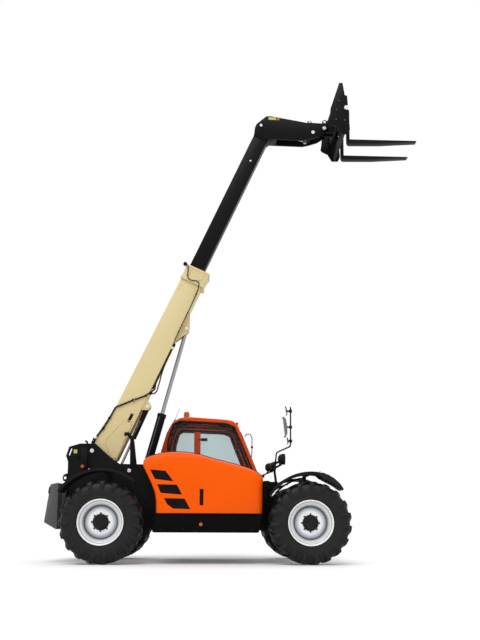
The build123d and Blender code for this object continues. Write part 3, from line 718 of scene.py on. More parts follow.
# ---- Geometry Nodes ----
class Layout(Tree):
    """A Geometry Nodes tree with named sizes, which ends in realized, dressed geometry."""

    def __init__(self, name: str, sizes: Dict[str, str]) -> None:
        """Starts a tree.

        Args:
            name: the tree's name.
            sizes: each input's name and kind of socket.
        """
        super().__init__(bpy.data.node_groups.new(name, "GeometryNodeTree"))
        face = self.tree.interface
        face.new_socket("Geometry", in_out="OUTPUT", socket_type="NodeSocketGeometry")
        for label, kind in {"Geometry": "Geometry", **sizes, "Finish": "Material"}.items():
            face.new_socket(label, in_out="INPUT", socket_type=f"NodeSocket{kind}")
        self.entry = self.tree.nodes.new("NodeGroupInput")

    def size(self, name: str) -> Wire:
        """One of the tree's named inputs."""
        return Wire(self, self.entry.outputs[name])

    def copy(self) -> Wire:
        """The geometry of the object that the tree copies."""
        return self.node("GeometryNodeObjectInfo", {"transform_space": "ORIGINAL"},
                         {"Object": self.size("Copy")}, "Geometry")

    def bent(self, steps: int) -> Wire:
        """The mesh's edges as a curve, each corner rounded in that many steps."""
        curve = self.node("GeometryNodeMeshToCurve", inputs={0: self.size("Geometry")})
        return self.node("GeometryNodeFilletCurve", {"mode": "POLY"},
                         {"Curve": curve, "Radius": self.size("Bend"), "Count": steps,
                          "Limit Radius": True})

    def close(self, shape: Wire) -> None:
        """Realizes the instances, sets the finish and ends the tree."""
        whole = self.node("GeometryNodeRealizeInstances", inputs={0: shape})
        dressed = self.node("GeometryNodeSetMaterial",
                            inputs={"Geometry": whole, "Material": self.size("Finish")})
        self.node("NodeGroupOutput", inputs={0: dressed})

    def run(self, base: Mesh, finish: Finish, **sizes: object) -> Mesh:
        """Works the tree on a mesh.

        Args:
            base: the mesh that goes in.
            finish: the finish of what comes out.
            sizes: a value for each named input.

        Returns:
            A plain mesh, with no modifier left.
        """
        worker = placed("worker", base)
        modifier = worker.modifiers.new("layout", "NODES")
        modifier.node_group = self.tree
        values = {**sizes, "Finish": finish.material}
        for item in self.tree.interface.items_tree:
            if item.in_out == "INPUT" and item.name in values:
                modifier[item.identifier] = values[item.name]
        graph = bpy.context.evaluated_depsgraph_get()
        result = bpy.data.meshes.new_from_object(worker.evaluated_get(graph), depsgraph=graph)
        worker.modifiers.remove(modifier)
        bpy.data.objects.remove(worker)
        return result


def ring_layout() -> Layout:
    """Copies of one object round a line across the machine, joined to the mesh that goes in."""
    tree = Layout("ring_of_copies", {"Copy": "Object", "Copies": "Int", "Phase": "Float",
                                     "Centre": "Vector"})
    line = tree.node("GeometryNodeMeshLine", {"mode": "OFFSET"},
                     {"Count": tree.size("Copies"), "Offset": (0.0, 0.0, 0.0)})
    turn = (tree.node("GeometryNodeInputIndex") * (2 * math.pi) / tree.size("Copies")
            + tree.size("Phase"))
    way = tree.node("ShaderNodeCombineXYZ", inputs={"Y": turn})
    ring = tree.node("GeometryNodeInstanceOnPoints",
                     inputs={"Points": line, "Instance": tree.copy(), "Rotation": way})
    moved = tree.node("GeometryNodeTransform",
                      inputs={"Geometry": ring, "Translation": tree.size("Centre")})
    tree.close(tree.node("GeometryNodeJoinGeometry", inputs={0: [moved, tree.size("Geometry")]}))
    return tree


def spot_layout() -> Layout:
    """A copy of one object on each point of a mesh, turned to the point's own facing."""
    tree = Layout("copies_on_spots", {"Copy": "Object", "Size": "Float"})
    facing = tree.node("GeometryNodeInputNamedAttribute", {"data_type": "FLOAT_VECTOR"},
                       {"Name": "facing"}, "Attribute")
    way = tree.node("FunctionNodeAlignRotationToVector", {"axis": "Z"}, {"Vector": facing})
    tree.close(tree.node("GeometryNodeInstanceOnPoints",
                         inputs={"Points": tree.size("Geometry"), "Instance": tree.copy(),
                                 "Rotation": way, "Scale": tree.size("Size")}))
    return tree


def tube_layout() -> Layout:
    """A round tube along a mesh's edges, with its corners bent to a radius."""
    tree = Layout("tube_on_path", {"Radius": "Float", "Bend": "Float"})
    section = tree.node("GeometryNodeCurvePrimitiveCircle",
                        inputs={"Resolution": 12, "Radius": tree.size("Radius")})
    tube = tree.node("GeometryNodeCurveToMesh",
                     inputs={"Curve": tree.bent(8), "Profile Curve": section, "Fill Caps": True})
    tree.close(tree.node("GeometryNodeSetShadeSmooth", inputs={"Geometry": tube}))
    return tree


def bead_layout() -> Layout:
    """Copies of one object at even steps along a mesh's edges, as in a weld."""
    tree = Layout("beads_on_path", {"Copy": "Object", "Step": "Float", "Bend": "Float"})
    points = tree.node("GeometryNodeCurveToPoints", {"mode": "LENGTH"},
                       {"Curve": tree.bent(6), "Length": tree.size("Step")}, "Points")
    tree.close(tree.node("GeometryNodeInstanceOnPoints",
                         inputs={"Points": points, "Instance": tree.copy(),
                                 "Rotation": points.other("Rotation")}))
    return tree


class Workshop:
    """Makes meshes into pieces, and holds the trees and small parts that they share."""

    def __init__(self) -> None:
        """Builds the shared trees and the small parts that they copy."""
        self.ring, self.spots = ring_layout(), spot_layout()
        self.tubes, self.beads = tube_layout(), bead_layout()
        self.bolt = self.spare("bolt", self._bolt_mesh())
        self.ripple = self.spare("ripple", self._ripple_mesh())
        self.count = 0

    @staticmethod
    def _bolt_mesh() -> Mesh:
        """A hexagon head of 10 mm radius on its washer, standing along +Z."""
        shape = bmesh.new()
        rod(shape, Vector((0, 0, -0.002)), Vector((0, 0, 0.0025)), 0.0135, 14)
        rod(shape, Vector((0, 0, 0.002)), Vector((0, 0, 0.0095)), 0.010, 6, 0.0094)
        return shaded(meshed(shape, "bolt"))

    @staticmethod
    def _ripple_mesh() -> Mesh:
        """One ripple of a weld, flattened along +Z."""
        shape = bmesh.new()
        bmesh.ops.create_icosphere(shape, subdivisions=1, radius=0.0065,
                                   matrix=Matrix.Diagonal((1.0, 1.0, 0.85, 1.0)))
        return shaded(meshed(shape, "ripple"), 80)

    @staticmethod
    def spare(name: str, mesh: Mesh) -> Object:
        """An object that is only ever copied by a tree."""
        made = placed(f"spare_{name}", mesh)
        made.hide_render = True
        return made

    @staticmethod
    def clear() -> None:
        """Takes the spares away once every piece is made."""
        for made in [o for o in bpy.data.objects if o.name.startswith("spare_")]:
            bpy.data.objects.remove(made)

    def piece(self, name: str, mesh: Mesh, body: str, finish: Finish, slot: Optional[str] = None,
              replaces: Sequence[str] = (), angle: Optional[float] = 32.0) -> Object:
        """Makes a finished piece of a mesh.

        Args:
            name: the piece's name.
            mesh: its mesh, in the frame's own place.
            body: the body that it rides on.
            finish: its finish.
            slot: the record's slot for that finish; not used.
            replaces: the nodes that it stands for.
            angle: the turn past which an edge stays sharp, or None to keep the shading.

        Returns:
            The object.
        """
        if angle is not None:
            shaded(mesh, angle)
        mesh.name = name
        if not mesh.materials:
            mesh.materials.append(finish.material)
        made = placed(name, mesh)
        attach(made, body)
        if replaces:
            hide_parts(*replaces)
        self.count += 1
        log.info("%-28s %-14s %6d faces", name, body, len(mesh.polygons))
        return made

    @staticmethod
    def joined(meshes: Sequence[Mesh]) -> Mesh:
        """Joins meshes.

        Args:
            meshes: what is joined.

        Returns:
            One mesh, with the first one's finish.
        """
        shape = bmesh.new()
        for mesh in meshes:
            shape.from_mesh(mesh)
        whole = bpy.data.meshes.new("joined")
        shape.to_mesh(whole)
        shape.free()
        for material in meshes[0].materials:
            whole.materials.append(material)
        return whole

    @staticmethod
    def _path(points: Sequence[Vector], closed: bool = False) -> Mesh:
        """A mesh of edges only, for the trees that follow a path.

        Args:
            points: the path's corners.
            closed: whether it returns to the first one.

        Returns:
            The mesh.
        """
        edges = [(i, i + 1) for i in range(len(points) - 1)]
        mesh = bpy.data.meshes.new("path")
        mesh.from_pydata(points, edges + ([(len(points) - 1, 0)] if closed else []), [])
        return mesh

    def tube(self, points: Sequence[Vector], radius: float, bend: float, finish: Finish,
             closed: bool = False) -> Mesh:
        """A round tube through points, with its corners bent."""
        return self.tubes.run(self._path(points, closed), finish, Radius=radius, Bend=bend)

    def piped(self, name: str, body: str, lines: Sequence[Tuple[float, float, Sequence[Vector]]],
              finish: Finish, slot: str, closed: bool = False,
              replaces: Sequence[str] = ()) -> None:
        """Makes a piece of tubes, each of a radius, a radius of its bends, and its points."""
        tubes = [self.tube(points, radius, bend, finish, closed) for radius, bend, points in lines]
        self.piece(name, self.joined(tubes), body, finish, slot, replaces, None)

    def bolted(self, name: str, body: str, places: Sequence[Tuple[Vector, Vector]], size: float,
               finish: Finish, slot: Optional[str] = None) -> None:
        """Makes a piece of bolt heads.

        Args:
            name: the piece's name.
            body: the body that it rides on.
            places: where each head sits and where it faces.
            size: the heads' radius as a share of 10 mm.
            finish: the piece's finish.
            slot: the record's slot for that finish, passed on to piece, which does not use it.
        """
        mesh = bpy.data.meshes.new("spots")
        mesh.from_pydata([place for place, _ in places], [], [])
        facing = mesh.attributes.new("facing", "FLOAT_VECTOR", "POINT")
        facing.data.foreach_set("vector", [c for _, way in places for c in way])
        heads = self.spots.run(mesh, finish, Copy=self.bolt, Size=size)
        self.piece(name, heads, body, finish, slot)

    def welded(self, name: str, body: str, lines: Sequence[Sequence[Vector]], finish: Finish,
               slot: str) -> None:
        """Makes a piece of rippled welds, one along each line."""
        beads = [self.beads.run(self._path(line), finish, Copy=self.ripple, Step=0.008, Bend=0.02)
                 for line in lines]
        self.piece(name, self.joined(beads), body, finish, slot)

    def carried(self, node: str, finish: Finish, ease: float) -> None:
        """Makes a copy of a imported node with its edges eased, in the node's place.

        Args:
            node: the node's name.
            finish: the copy's finish.
            ease: how wide its edges are rounded, or 0 to keep them.
        """
        source = frame["nodes"][node]
        shape = bmesh.new()
        shape.from_mesh(source.data)
        bmesh.ops.remove_doubles(shape, verts=shape.verts, dist=2e-5)
        bmesh.ops.dissolve_degenerate(shape, dist=1e-5, edges=shape.edges)
        bmesh.ops.dissolve_limit(shape, angle_limit=math.radians(0.6), verts=shape.verts,
                                 edges=shape.edges, use_dissolve_boundaries=False)
        if ease:
            eased(shape, ease, angle=32.0)
        bmesh.ops.triangulate(shape, faces=[f for f in shape.faces if len(f.verts) > 4])
        mesh = bpy.data.meshes.new(node)
        shape.to_mesh(mesh)
        shape.free()
        stale = mesh.attributes.get("custom_normal")
        if stale:
            mesh.attributes.remove(stale)
        slot = next(s["material_slot"] for s in frame["record"]["subparts"] if s["node"] == node)
        self.piece(f"{node}_finished", mesh, source["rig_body"], finish, slot, [node])


@dataclass
class Trim:
    """One group of pieces that is added to the plain bodies."""

    shop: Workshop

    def build(self) -> None:
        """Makes the group's pieces."""
        raise NotImplementedError


# ---- wheels ----
@dataclass
class Wheel(Trim):
    """One tyre with its lugs, its rim, its hub and its studs; sizes in metres from its middle."""

    end: str
    hand: str
    lugs_a_side: int = 19
    studs: int = 8
    stud_ring: float = 0.128
    flange: float = 0.110       # the hub flange's radius between the studs
    scallop: float = 0.010      # what it gains at each stud
    flange_face: float = 0.124
    dish: float = 0.104         # how far out the rim's disc stands
    carcass: Line = (
        (0.318, 0.150), (0.331, 0.166), (0.345, 0.178), (0.352, 0.185), (0.361, 0.186),
        (0.366, 0.183), (0.390, 0.190), (0.42, 0.1935), (0.438, 0.1945), (0.441, 0.1965),
        (0.449, 0.1965), (0.453, 0.1930), (0.478, 0.1890), (0.507, 0.1815), (0.535, 0.168),
        (0.558, 0.148), (0.574, 0.110), (0.582, 0.0))
    lining: Line = ((0.530, 0.0), (0.520, 0.10), (0.480, 0.150), (0.40, 0.160), (0.318, 0.120))
    lug: Rows = (
        # turn in degrees, top (radius, out), foot (radius, out), half width
        (-5.6, 0.5970, 0.004, 0.550, 0.010, 0.022), (-3.2, 0.5992, 0.050, 0.550, 0.050, 0.026),
        (-0.6, 0.5992, 0.108, 0.550, 0.105, 0.030), (1.4, 0.5970, 0.150, 0.545, 0.135, 0.033),
        (2.3, 0.5880, 0.176, 0.530, 0.150, 0.033), (2.9, 0.5620, 0.1925, 0.512, 0.162, 0.031),
        (3.3, 0.5250, 0.1988, 0.492, 0.176, 0.028), (3.5, 0.4800, 0.1990, 0.470, 0.186, 0.024),
        (3.6, 0.4600, 0.1960, 0.455, 0.187, 0.021))
    lug_flare: float = 0.006    # how much wider each side of a lug's foot is
    rim: Line = (
        # outer flange, bead seat and well, and from the eleventh point on the dished disc
        (0.307, 0.142), (0.308, 0.1455), (0.3295, 0.1645), (0.3298, 0.176), (0.3255, 0.1785),
        (0.3195, 0.1765), (0.3150, 0.166), (0.3050, 0.152), (0.296, 0.142), (0.284, 0.1385),
        (0.270, 0.1375), (0.262, 0.134), (0.257, 0.126), (0.250, 0.100), (0.244, 0.086),
        (0.236, 0.080), (0.222, 0.084), (0.196, 0.094), (0.168, 0.1015), (0.150, 0.104),
        (0.118, 0.1045))
    hub: Line = ((0.0, 0.1478), (0.052, 0.1476), (0.066, 0.1455), (0.070, 0.140), (0.088, 0.1395),
                 (0.096, 0.136), (0.101, 0.128), (0.104, 0.105), (0.0, 0.100))

    @property
    def side(self) -> int:
        """1 on the left and -1 on the right."""
        return 1 if self.hand == "left" else -1

    @property
    def centre(self) -> Vector:
        """The wheel's middle."""
        return Vector((AXLE_X[self.end], self.side * TRACK, AXLE_Z))

    def _lug(self, way: int) -> Object:
        """Makes one lug.

        Args:
            way: 1 for the outer row and -1 for the inner one.

        Returns:
            The lug as a spare.
        """
        shape, last = bmesh.new(), None
        for turn, top, top_out, foot, foot_out, half in self.lug:
            wide = half + self.lug_flare
            corners = [shape.verts.new(about(Vector(), radius, math.radians(turn) + away / radius,
                                             self.side * way * out))
                       for radius, out, away in ((top, top_out, -half), (top, top_out, half),
                                                 (foot, foot_out, wide), (foot, foot_out, -wide))]
            if last:
                for i in range(4):
                    j = (i + 1) % 4
                    shape.faces.new((last[i], last[j], corners[j], corners[i]))
            else:
                shape.faces.new(corners[::-1])
            last = corners
        shape.faces.new(last)
        bmesh.ops.recalc_face_normals(shape, faces=shape.faces)
        eased(shape, 0.004, 1, 40)
        return self.shop.spare("lug", shaded(meshed(shape, "lug"), 40))

    def _tyre(self) -> Mesh:
        """The carcass with two staggered rows of lugs."""
        shape = bmesh.new()
        outside = list(self.carcass) + [(r, -y) for r, y in reversed(self.carcass[:-1])]
        inside = [(r, -y) for r, y in reversed(self.lining[1:])] + list(self.lining)
        revolved(shape, outside + inside, self.centre, self.side, 114)
        mesh = shaded(meshed(shape, "carcass"), 30)
        for way in SIDES:
            mesh = self.shop.ring.run(mesh, Finish.TYRE, Copy=self._lug(way),
                                      Copies=self.lugs_a_side, Centre=self.centre,
                                      Phase=(1 + way) * math.pi / 2 / self.lugs_a_side)
        return mesh

    def _rim(self) -> Mesh:
        """The rim's outer flange, well, dish and inner flange as one turned body."""
        shape = bmesh.new()
        thick = [(r - 0.006, y - 0.009) for r, y in reversed(self.rim[10:])]
        well = [(0.262, 0.118), (0.262, -0.118), (0.270, -0.128)]
        flange = [(r, -y) for r, y in reversed(self.rim[:9])]
        back = [(0.290, -0.128), (0.285, -0.118), (0.285, 0.118), (0.290, 0.128)]
        revolved(shape, list(self.rim) + thick + well + flange + back, self.centre, self.side, 96)
        return meshed(shape, "rim")

    def _hub(self) -> Mesh:
        """The planetary hub: a turned cap over a flange with a scallop at each stud."""
        cap, flange, rear = bmesh.new(), bmesh.new(), bmesh.new()
        revolved(cap, self.hub, self.centre, self.side, 48, closed=False)
        prism(flange, [about(self.centre, self.flange
                             + self.scallop * max(0.0, math.cos(self.studs * a)) ** 4, a,
                             self.side * 0.1) for a in angles(96)],
              Vector((0, self.side * (self.flange_face - 0.1), 0)))
        rod(rear, self.centre, about(self.centre, 0, 0, self.side * self.dish), self.flange, 48)
        return Workshop.joined([meshed(part, "hub") for part in (cap, flange, rear)])

    def build(self) -> None:
        """Makes the tyre, the rim, the hub and the studs."""
        name = f"{self.end}_{self.hand}"
        body = f"wheel_{name}"
        self.shop.piece(f"tyre_{name}_lugged", self._tyre(), body, Finish.TYRE, "tyre_rubber",
                        [f"tyre_{name}"], None)
        self.shop.piece(f"rim_{name}_dished", self._rim(), body, Finish.RIM, "rim_silver",
                        [f"rim_{name}"], 35)
        self.shop.piece(f"hub_{name}", self._hub(), body, Finish.CAST, "cast_axle")
        self.shop.bolted(f"studs_{name}", body,
                         [(about(self.centre, self.stud_ring, a, self.side * self.dish),
                           ACROSS[self.side]) for a in angles(self.studs)], 0.95, Finish.CAST)


# ---- pins and plain plates ----
@dataclass(frozen=True)
class Pin:
    """A pin's end or a round reflector, on a face that looks across the machine."""

    body: str
    place: Pair
    radius: float
    face: float                 # how far the face is from the machine's middle plane
    height: float
    sides: Sequence[int] = SIDES
    finish: Finish = Finish.ZINC


@dataclass(frozen=True)
class Blank:
    """A thin plain plate, 3 mm proud of a face on the right."""

    name: str
    body: str
    face: float
    corners: Line
    finish: Finish = Finish.YELLOW


@dataclass
class PinEnds(Trim):
    """Pin ends, reflectors and plain plates that sit on the faces of other pieces."""

    profile: Line = (
        # share of the radius, share of the height
        (0.0, 0.0), (1.0, 0.0), (1.0, 0.55), (0.9, 1.0), (0.3, 1.0), (0.26, 1.5), (0.12, 1.6),
        (0.0, 1.6))
    pins: Sequence[Pin] = (
        Pin("chassis", (-1781, 1694), 33, 228, 9),
        Pin("chassis", (-1198, 1389), 30, 246, 5, (-1,)),
        Pin("boom", (-352, 3693), 26, 86, 7),
        Pin("boom", (-945, 2408), 27, 138, 8, (-1,)),
        Pin("boom_section", (1721, 7086), 29, 132, 8),
        Pin("boom_section", (849, 7186), 24, 132, 8),
        Pin("boom_section", (1912, 7162), 31, 134, 8),
        Pin("boom_section", (675, 6565), 15, 108, 1.4),
        Pin("crank", (1676, 7310), 20, 55, 6),
        Pin("crank", (1600, 6985), 18, 47, 6),
        Pin("fork_carriage", (1927, 7297), 24, 84, 2),
        Pin("fork_carriage", (2222, 7330), 38, 502, 7),
        Pin("chassis", (-1915, 1448), 27, 259, 12, (-1,), Finish.AMBER),
        Pin("chassis", (-78, 573), 26, 1000, 9, (-1,), Finish.AMBER),
        Pin("chassis", (0, 610), 24, 1050, 9, (1,), Finish.AMBER))
    blanks: Sequence[Blank] = (
        Blank("blank_tower", "chassis", 220,
              ((-2064, 1652), (-2010, 1648), (-2007, 1707), (-2061, 1711))),
        Blank("blank_head", "boom_section", 122,
              ((972, 7296), (1098, 7290), (1101, 7334), (975, 7343))),
        Blank("blank_head_small", "boom_section", 122,
              ((1110, 7289), (1158, 7287), (1160, 7324), (1113, 7330)), Finish.AMBER))

    def build(self) -> None:
        """Makes one piece for each row of the tables."""
        for number, pin in enumerate(self.pins):
            form = Form()
            for side in pin.sides:
                form.turned([(pin.radius * r, pin.height * h) for r, h in self.profile],
                            (pin.place[0], side * pin.face, pin.place[1]), side)
            self.shop.piece(f"pin_end_{number}_{pin.body}", form.mesh(), pin.body, pin.finish)
        for blank in self.blanks:
            form = Form().plate(blank.corners, -blank.face, -blank.face - 3).ease(1, 1)
            self.shop.piece(blank.name, form.mesh(), blank.body, blank.finish)


# ---- boom ----
@dataclass
class BoomTrim(Trim):
    """Welds, bolts, plates and hoses of the boom, in millimetres along and above it."""

    half: float = 150           # half the outer section's width
    bottom: float = -395
    doubler: Line = ((30, -300), (196, -128), (241, -105), (662, -229), (678, -354), (60, -380))
    pads: Sequence[float] = (-345, -120)
    hose_drop: float = 14       # from the section's bottom to the hoses' middle
    clamped: Line = ((1149, -376), (993, -219), (577, -6), (391, 12))

    def _welds(self) -> None:
        """Beads round the doublers, before the collar, along the lugs and round the head."""
        lines = []
        for side in SIDES:
            ring = [on_boom(u, side * (self.half + 3), v) for u, v in self.doubler]
            lines.append(ring + ring[:1])
            lines.append([on_boom(3116, side * self.half, v) for v in (-60, -385)])
        lines += [[on_boom(u, y, self.bottom - 1) for u in (2170, 2690)]
                  for y in (48, -48, 74, -74)]
        self.shop.welded("boom_welds", "boom", lines, Finish.CREAM, "boom_cream")
        around = [[on_boom(5884, side * 109, v) for v in (-76, -315)] for side in SIDES]
        self.shop.welded("head_welds", "boom_section", around, Finish.BOOM_BLACK, "boom_black")

    def _plates(self) -> None:
        """The small dark plate on the boom's side with its rivets, and the pad covers."""
        form = Form(on_boom).box(645, 795, -self.half, -self.half - 4, -322, -276).ease(1.5, 2)
        self.shop.piece("blank_boom", form.mesh(), "boom", Finish.BLACK)
        rivets = [(on_boom(u, -self.half - 4, v), ACROSS[-1])
                  for u in (656, 784) for v in (-312, -286)]
        self.shop.bolted("blank_boom_rivets", "boom", rivets, 0.3, Finish.ZINC)
        form = Form(on_boom)
        for side in SIDES:
            for v in self.pads:
                form.box(3200, 3318, side * 178, side * 186, v - 26, v + 26)
        self.shop.piece("pad_covers", form.ease(3, 2).mesh(), "boom", Finish.CREAM, "boom_cream")
        bolts = [(on_boom(u, side * y, v), ACROSS[side]) for side in SIDES
                 for y, us, vs in ((186, (3220, 3298), self.pads), (150, (2940, 3010), (-330, -90)))
                 for v in vs for u in us]
        self.shop.bolted("pad_bolts", "boom", bolts, 1.0, Finish.CREAM)

    def _hoses(self) -> None:
        """The hoses under the boom and over its side, with their blocks, clamps and ends."""
        under = self.bottom - self.hose_drop
        lines = (
            # radius, then places along, above and beside the boom
            (0.0130, [(2050, under, -135), (1420, under, -135), (1290, -450, -163),
                      (1149, -376, -163), (993, -219, -163), (771, -16, -163), (577, -6, -163),
                      (391, 12, -163), (229, 47, -163), (150, 57, -163)]),
            (0.0130, [(2050, under, -105), (1230, under, -105)]),
            (0.0110, [(1790, under, -118), (1600, -428, -112), (1420, -462, -108),
                      (1270, -486, -108), (1215, -450, -110), (1215, under, -110)]),
            (0.0075, [(3352, -8, -190), (3336, -69, -196), (3155, -143, -196),
                      (3140, -203, -196), (3186, -340, -196), (3060, -372, -160),
                      (2756, -388, -158), (2420, -388, -158), (2160, -392, -158),
                      (2080, under, -150)]),
        )
        self.shop.piped("hoses", "boom",
                        [(radius, 0.05, [on_boom(u, y, v) for u, v, y in line])
                         for radius, line in lines], Finish.HOSE, "hose_rubber",
                        replaces=["boom_hoses"])
        blocks = [(2040, 2090, -162, -85, under - 22, self.bottom),
                  (1190, 1240, -130, -85, under - 22, self.bottom), (112, 196, -177, -150, 36, 82)]
        blocks += [(u - 14, u + 14, -150, -90, under - 14, self.bottom) for u in (1500, 1800)]
        blocks += [(u - 15, u + 15, -178, -150, v - 20, v + 20) for u, v in self.clamped]
        blocks += [(u - 9, u + 9, -168, -150, -396, -376) for u in (2980, 2640, 2290)]
        form = Form(on_boom)
        for limits in blocks:
            form.box(*limits)
        form.ease(3, 2).bar((3350, -200, -8), (3350, -176, -8), 30, 33)
        self.shop.piece("hose_blocks", form.mesh(), "boom", Finish.BLACK)
        ends = Form(on_boom)
        for u, y in ((1998, -135), (1998, -105), (1242, -105)):
            ends.bar((u, y, under), (u + 44, y, under), 15.5, turns=20)
            ends.bar((u + 30, y, under), (u + 44, y, under), 18, turns=6)
        for y in (-135, -105):
            ends.bar((2088, y, under), (2112, y, under), 15, turns=6)
        ends.bar((190, -163, 52), (232, -163, 46), 15.5, turns=20)
        self.shop.piece("hose_ends", ends.mesh(), "boom", Finish.ZINC)
        bolts = [(on_boom(u, -178, v), ACROSS[-1])
                 for u, v in ((1149, -394), (993, -237), (391, 30), (154, 72))]
        self.shop.bolted("hose_clamp_bolts", "boom", bolts, 0.6, Finish.ZINC)

    def build(self) -> None:
        """Makes the welds, the plates and the hoses."""
        self._welds()
        self._plates()
        self._hoses()


@dataclass
class CylinderPipes(Trim):
    """A hard pipe that feeds the far end of each barrel, with its two unions."""

    runs: Sequence[Tuple[str, float, float, float, float]] = (
        # cylinder, its barrel's radius, start, end, offset across the barrel in side view
        ("lift", 66, 150, 1290, 22), ("slave", 40, 270, 520, -10), ("tilt", 42, 90, 500, 0))

    def build(self) -> None:
        """Makes a pipe on the right of each barrel."""
        for name, radius, start, end, offset in self.runs:
            foot = Vector(JOINTS[f"{name}_cylinder_swing"]["pos_m"])
            way = Vector(JOINTS[f"{name}_stroke"]["axis"])
            drop = math.sqrt((radius + 11) ** 2 - offset ** 2)
            near = math.sqrt(radius ** 2 - offset ** 2) - 4

            def at(along: float, out: float) -> Vector:
                """A place along the barrel and out from its middle."""
                return foot + (way * along + Vector((-way.z, 0, way.x)) * offset
                               - Vector((0, out, 0))) / 1000
            pipe = self.shop.tube([at(start, near), at(start, drop), at(end, drop), at(end, near)],
                                  0.0065, 0.012, Finish.PIPE)
            unions = Form()
            for along in (start, end):
                rod(unions.shape, at(along, near - 4), at(along, near + 8), 0.013, 6)
            both = self.shop.joined([pipe, shaded(unions.mesh())])
            self.shop.piece(f"pipe_{name}_cylinder", both, f"{name}_cylinder", Finish.PIPE)


# ---- mirrors and lamps ----
@dataclass
class Mirrors(Trim):
    """The bent mast before the hood, with its three mirrors and their clamps."""

    y: float = -750
    mast: Line = ((1026, 1215), (1004, 1390), (1024, 1500), (1038, 1640), (1250, 1735),
                  (1252, 2330))
    heads: Sequence[Tuple[Pair, Pair, float, float]] = (
        # top and bottom of a mirror's rear face, half its width, its thickness
        ((1126, 2168), (1160, 1872), 92, 52), ((1166, 2332), (1190, 2196), 58, 18),
        ((1190, 1864), (1202, 1762), 48, 18))

    def build(self) -> None:
        """Makes the mast with its clamps and small heads, the large shell, and the glass."""
        y = self.y
        mast = self.shop.tube([mm(x, y, z) for x, z in self.mast], 0.011, 0.05, Finish.PLASTIC)
        form, shells, glass = Form(), Form(), Form()
        for (x0, z0), (x1, z1), half, thick in self.heads:
            size = math.hypot(x1 - x0, z1 - z0)

            def at(along: float, out: float) -> Pair:
                """A place down the mirror's face and out behind its glass."""
                return (x0 + (x1 - x0) * along + (z0 - z1) / size * out,
                        z0 + (z1 - z0) * along + (x1 - x0) / size * out)
            head = shells if half > 60 else form
            head.plate([at(0, 0), at(0, thick * 0.3), at(0.12, thick * 0.85), at(0.45, thick),
                        at(0.85, thick * 0.8), at(1, thick * 0.3), at(1, 0)], y - half, y + half)
            glass.plate([at(0.05, 1), at(0.95, 1), at(0.95, -2), at(0.05, -2)],
                        y - half + 8, y + half - 8)
            x, z = at(0.5, thick * 0.8)
            form.box(x, 1240, y - 14, y + 14, z - 12, z + 12)
            form.box(1230, 1274, y - 22, y + 22, z - 23, z + 23)
        form.ease(7, 3).bar((1030, y, 1190), (1003, y, 1400), 19, 17)
        form.bar((1003, y, 1385), (1022, y, 1500), 20, 15)
        self.shop.piece("mirrors", self.shop.joined([mast, shaded(form.mesh())]), "chassis",
                        Finish.PLASTIC, "black_plastic", ["mirror_mast"])
        self.shop.piece("mirror_shells", shells.ease(9, 3).mesh(), "chassis", Finish.SHELL)
        self.shop.piece("mirror_glass", glass.ease(1.2, 1).mesh(), "chassis", Finish.MIRROR)


@dataclass
class Headlamps(Trim):
    """Two headlamps and the work lamp, each a domed shell with its lens, and their arms."""

    lamps: Rows = (
        # x, y, z, size
        (1056, -780, 1538, 1.1), (1056, 780, 1538, 1.1), (866, -770, 1416, 0.86))
    shell: Rows = (
        # start, end, radius at each
        (0, 8, 20, 44), (8, 26, 44, 62), (26, 54, 62, 73), (54, 92, 74, 75), (92, 96, 75, 71))
    lens: Tuple[float, ...] = (94, 99, 64, 58)
    arms: Sequence[Tuple[Point, Point, float]] = (
        ((1088, -780, 1448), (1012, -755, 1408), 15), ((1078, -776, 1500), (1020, -752, 1478), 17),
        ((1024, -751, 1508), (1016, -751, 1452), 19), ((1092, 780, 1452), (812, 780, 1340), 11),
        ((906, -770, 1352), (900, -775, 1328), 14), ((900, -775, 1336), (838, -790, 1290), 9),
        ((842, -790, 1304), (842, -790, 1262), 14))

    def build(self) -> None:
        """Makes the shells with their arms, and the lenses."""
        shells, lenses = Form(), Form()
        for x, y, z, size in self.lamps:
            for form, rows in ((shells, self.shell), (lenses, (self.lens,))):
                for a, b, r0, r1 in rows:
                    form.bar((x + a * size, y, z), (x + b * size, y, z), r0 * size, r1 * size, 40)
        for side in SIDES:
            shells.box(1072, 1112, side * 764, side * 796, 1440, 1476)
        for arm in self.arms:
            shells.bar(*arm)
        self.shop.piece("headlamps", shells.mesh(), "chassis", Finish.PLASTIC, "black_plastic",
                        ["front_lamps"])
        self.shop.piece("lamp_lenses", lenses.mesh(), "chassis", Finish.CLEAR)


@dataclass
class CabLamps(Trim):
    """The hoop at the front pillar, the aerial and the roof's corner lamp."""

    hoop: Line = ((612, 1985), (640, 2030), (700, 2034), (730, 1975), (730, 1740), (716, 1620))
    aerial: Point = (-545, 405, 2240)

    def build(self) -> None:
        """Makes the hoop with the aerial, the lamp and its lens."""
        hoop = self.shop.tube([mm(x, 285, z) for x, z in self.hoop], 0.007, 0.035, Finish.PLASTIC)
        form = Form().box(713, 748, 268, 302, 1798, 1834).ease(6, 2)
        form.bar(self.aerial, (-462, 405, 2457), 3).bar(self.aerial, (-532, 405, 2276), 13, 9)
        self.shop.piece("cab_hoop", self.shop.joined([hoop, shaded(form.mesh())]), "chassis",
                        Finish.PLASTIC, "black_plastic", ["cab_fittings"])
        form = Form().plate([(462, 2204), (500, 2186), (516, 2212), (470, 2234)], 318, 372)
        self.shop.piece("roof_lamp", form.ease(8, 3).mesh(), "chassis", Finish.CAB, "cab_orange")
        form = Form().plate([(499, 2190), (513, 2213), (518, 2210), (504, 2187)], 324, 366)
        self.shop.piece("roof_lamp_lens", form.ease(1.5, 1).mesh(), "chassis", Finish.CLEAR)


